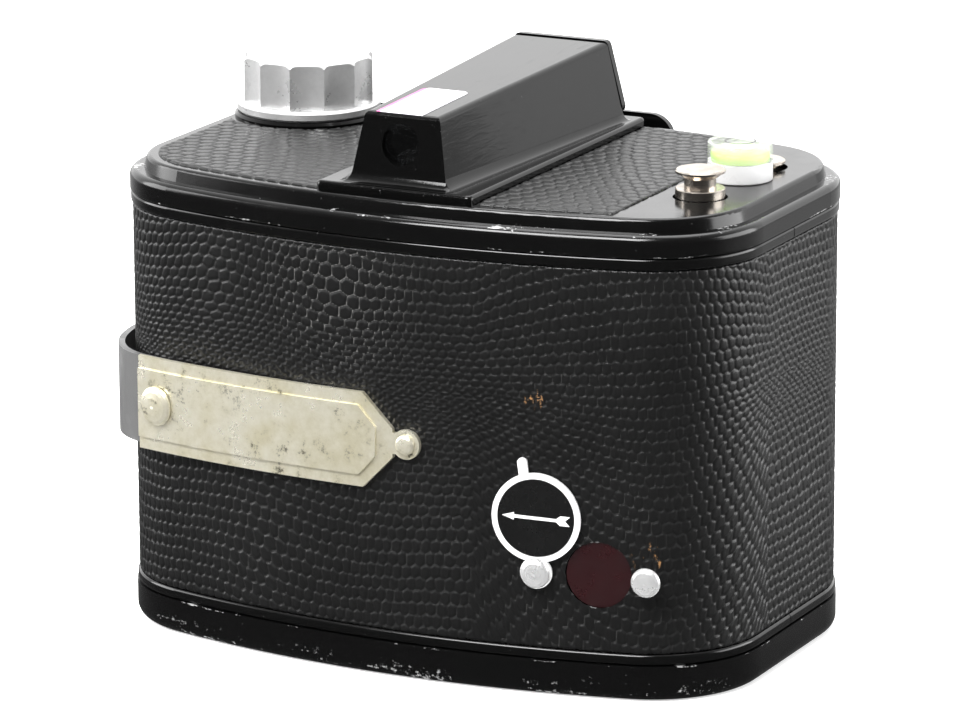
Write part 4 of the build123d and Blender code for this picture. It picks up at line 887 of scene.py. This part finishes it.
def light_stage():
    """A pale table top in a white tent, brightest behind the object and dim behind the camera."""
    corners = [(-4, -4, 0), (4, -4, 0), (4, 4, 0), (-4, 4, 0)]
    floor = new_mesh("floor", corners, [(0, 1, 2, 3)], floor_material())
    world = bpy.data.worlds.new("tent")
    bpy.context.scene.world = world
    world.use_nodes = True
    tree = world.node_tree
    where = tree.nodes.new("ShaderNodeTexCoord")
    toward = tree.nodes.new("ShaderNodeVectorMath")
    toward.operation = "DOT_PRODUCT"
    tree.links.new(where.outputs["Generated"], toward.inputs[0])
    toward.inputs[1].default_value = (-0.35, 0.92, 0.15)
    ramp = tree.nodes.new("ShaderNodeValToRGB")
    spread = tree.nodes.new("ShaderNodeMapRange")
    spread.inputs["From Min"].default_value = -1.0
    tree.links.new(toward.outputs["Value"], spread.inputs["Value"])
    tree.links.new(spread.outputs["Result"], ramp.inputs["Fac"])
    stops = ((0.0, 0.05), (0.35, 0.14), (0.55, 0.5), (0.7, 1.2), (0.95, 1.9))
    while len(ramp.color_ramp.elements) < len(stops):
        ramp.color_ramp.elements.new(0.5)
    for element, (place, value) in zip(ramp.color_ramp.elements, stops):
        element.position = place
        element.color = grey(value)
    seen = tree.nodes.new("ShaderNodeLightPath")
    choice = tree.nodes.new("ShaderNodeMix")
    choice.data_type = "RGBA"
    tree.links.new(seen.outputs["Is Camera Ray"], choice.inputs["Factor"])
    tree.links.new(ramp.outputs["Color"], choice.inputs["A"])
    choice.inputs["B"].default_value = grey(1.3)
    tree.links.new(choice.outputs["Result"], tree.nodes["Background"].inputs["Color"])
    lamp("side_box", (1.0, 0.45, 0.3), (0.03, 0, 0.04), 0.9, 11.0, 0.7)
    lamp("left_box", (-0.9, -0.25, 0.4), (-0.05, 0, 0.04), 0.6, 7.0)
    lamp("key_box", (-0.1, -0.75, 0.95), (0, 0, 0.05), 0.75, 24.0, 0.5)
    lamp("top_box", (-0.1, 0.35, 1.2), (0, 0, 0.05), 0.9, 9.0)


def floor_material():
    """A pale table top; gloss that mirrors it sees a painted reflection instead, an emission dim in front of
    the object and bright behind.
    """
    n = Nodes("table_top")
    x, y, z = n.axes()
    n.finish(n.mix(n.noise(6, 3), grey(0.93), grey(0.95)), n.ramp(n.noise(9, 3), 0.3, 0.7, 0.5, 0.6), 0.0)
    # Painted reflection: what gloss mirrors of the table is this emission, dim in front of the object and
    # bright behind
    painted_reflection = n.add("ShaderNodeEmission")
    shade = n.mix(n.ramp(y, -0.10, 0.3), grey(0.05), grey(0.62))
    n.join(shade, painted_reflection.inputs["Color"])
    white = n.add("ShaderNodeEmission")
    white.inputs["Color"].default_value = grey(0.55)
    both = n.add("ShaderNodeAddShader")
    n.join(n.shader.outputs[0], both.inputs[0])
    n.join(white.outputs[0], both.inputs[1])
    path = n.add("ShaderNodeLightPath")
    choice = n.add("ShaderNodeMixShader")
    n.join(path.outputs["Is Glossy Ray"], choice.inputs["Fac"])
    n.join(both.outputs[0], choice.inputs[1])
    n.join(painted_reflection.outputs[0], choice.inputs[2])
    output = next(node for node in n.tree.nodes if node.type == "OUTPUT_MATERIAL")
    n.join(choice.outputs[0], output.inputs["Surface"])
    return n.material


aim_camera()
light_stage()
scene = bpy.context.scene
scene.view_settings.view_transform = "Standard"
scene.view_settings.look = "None"
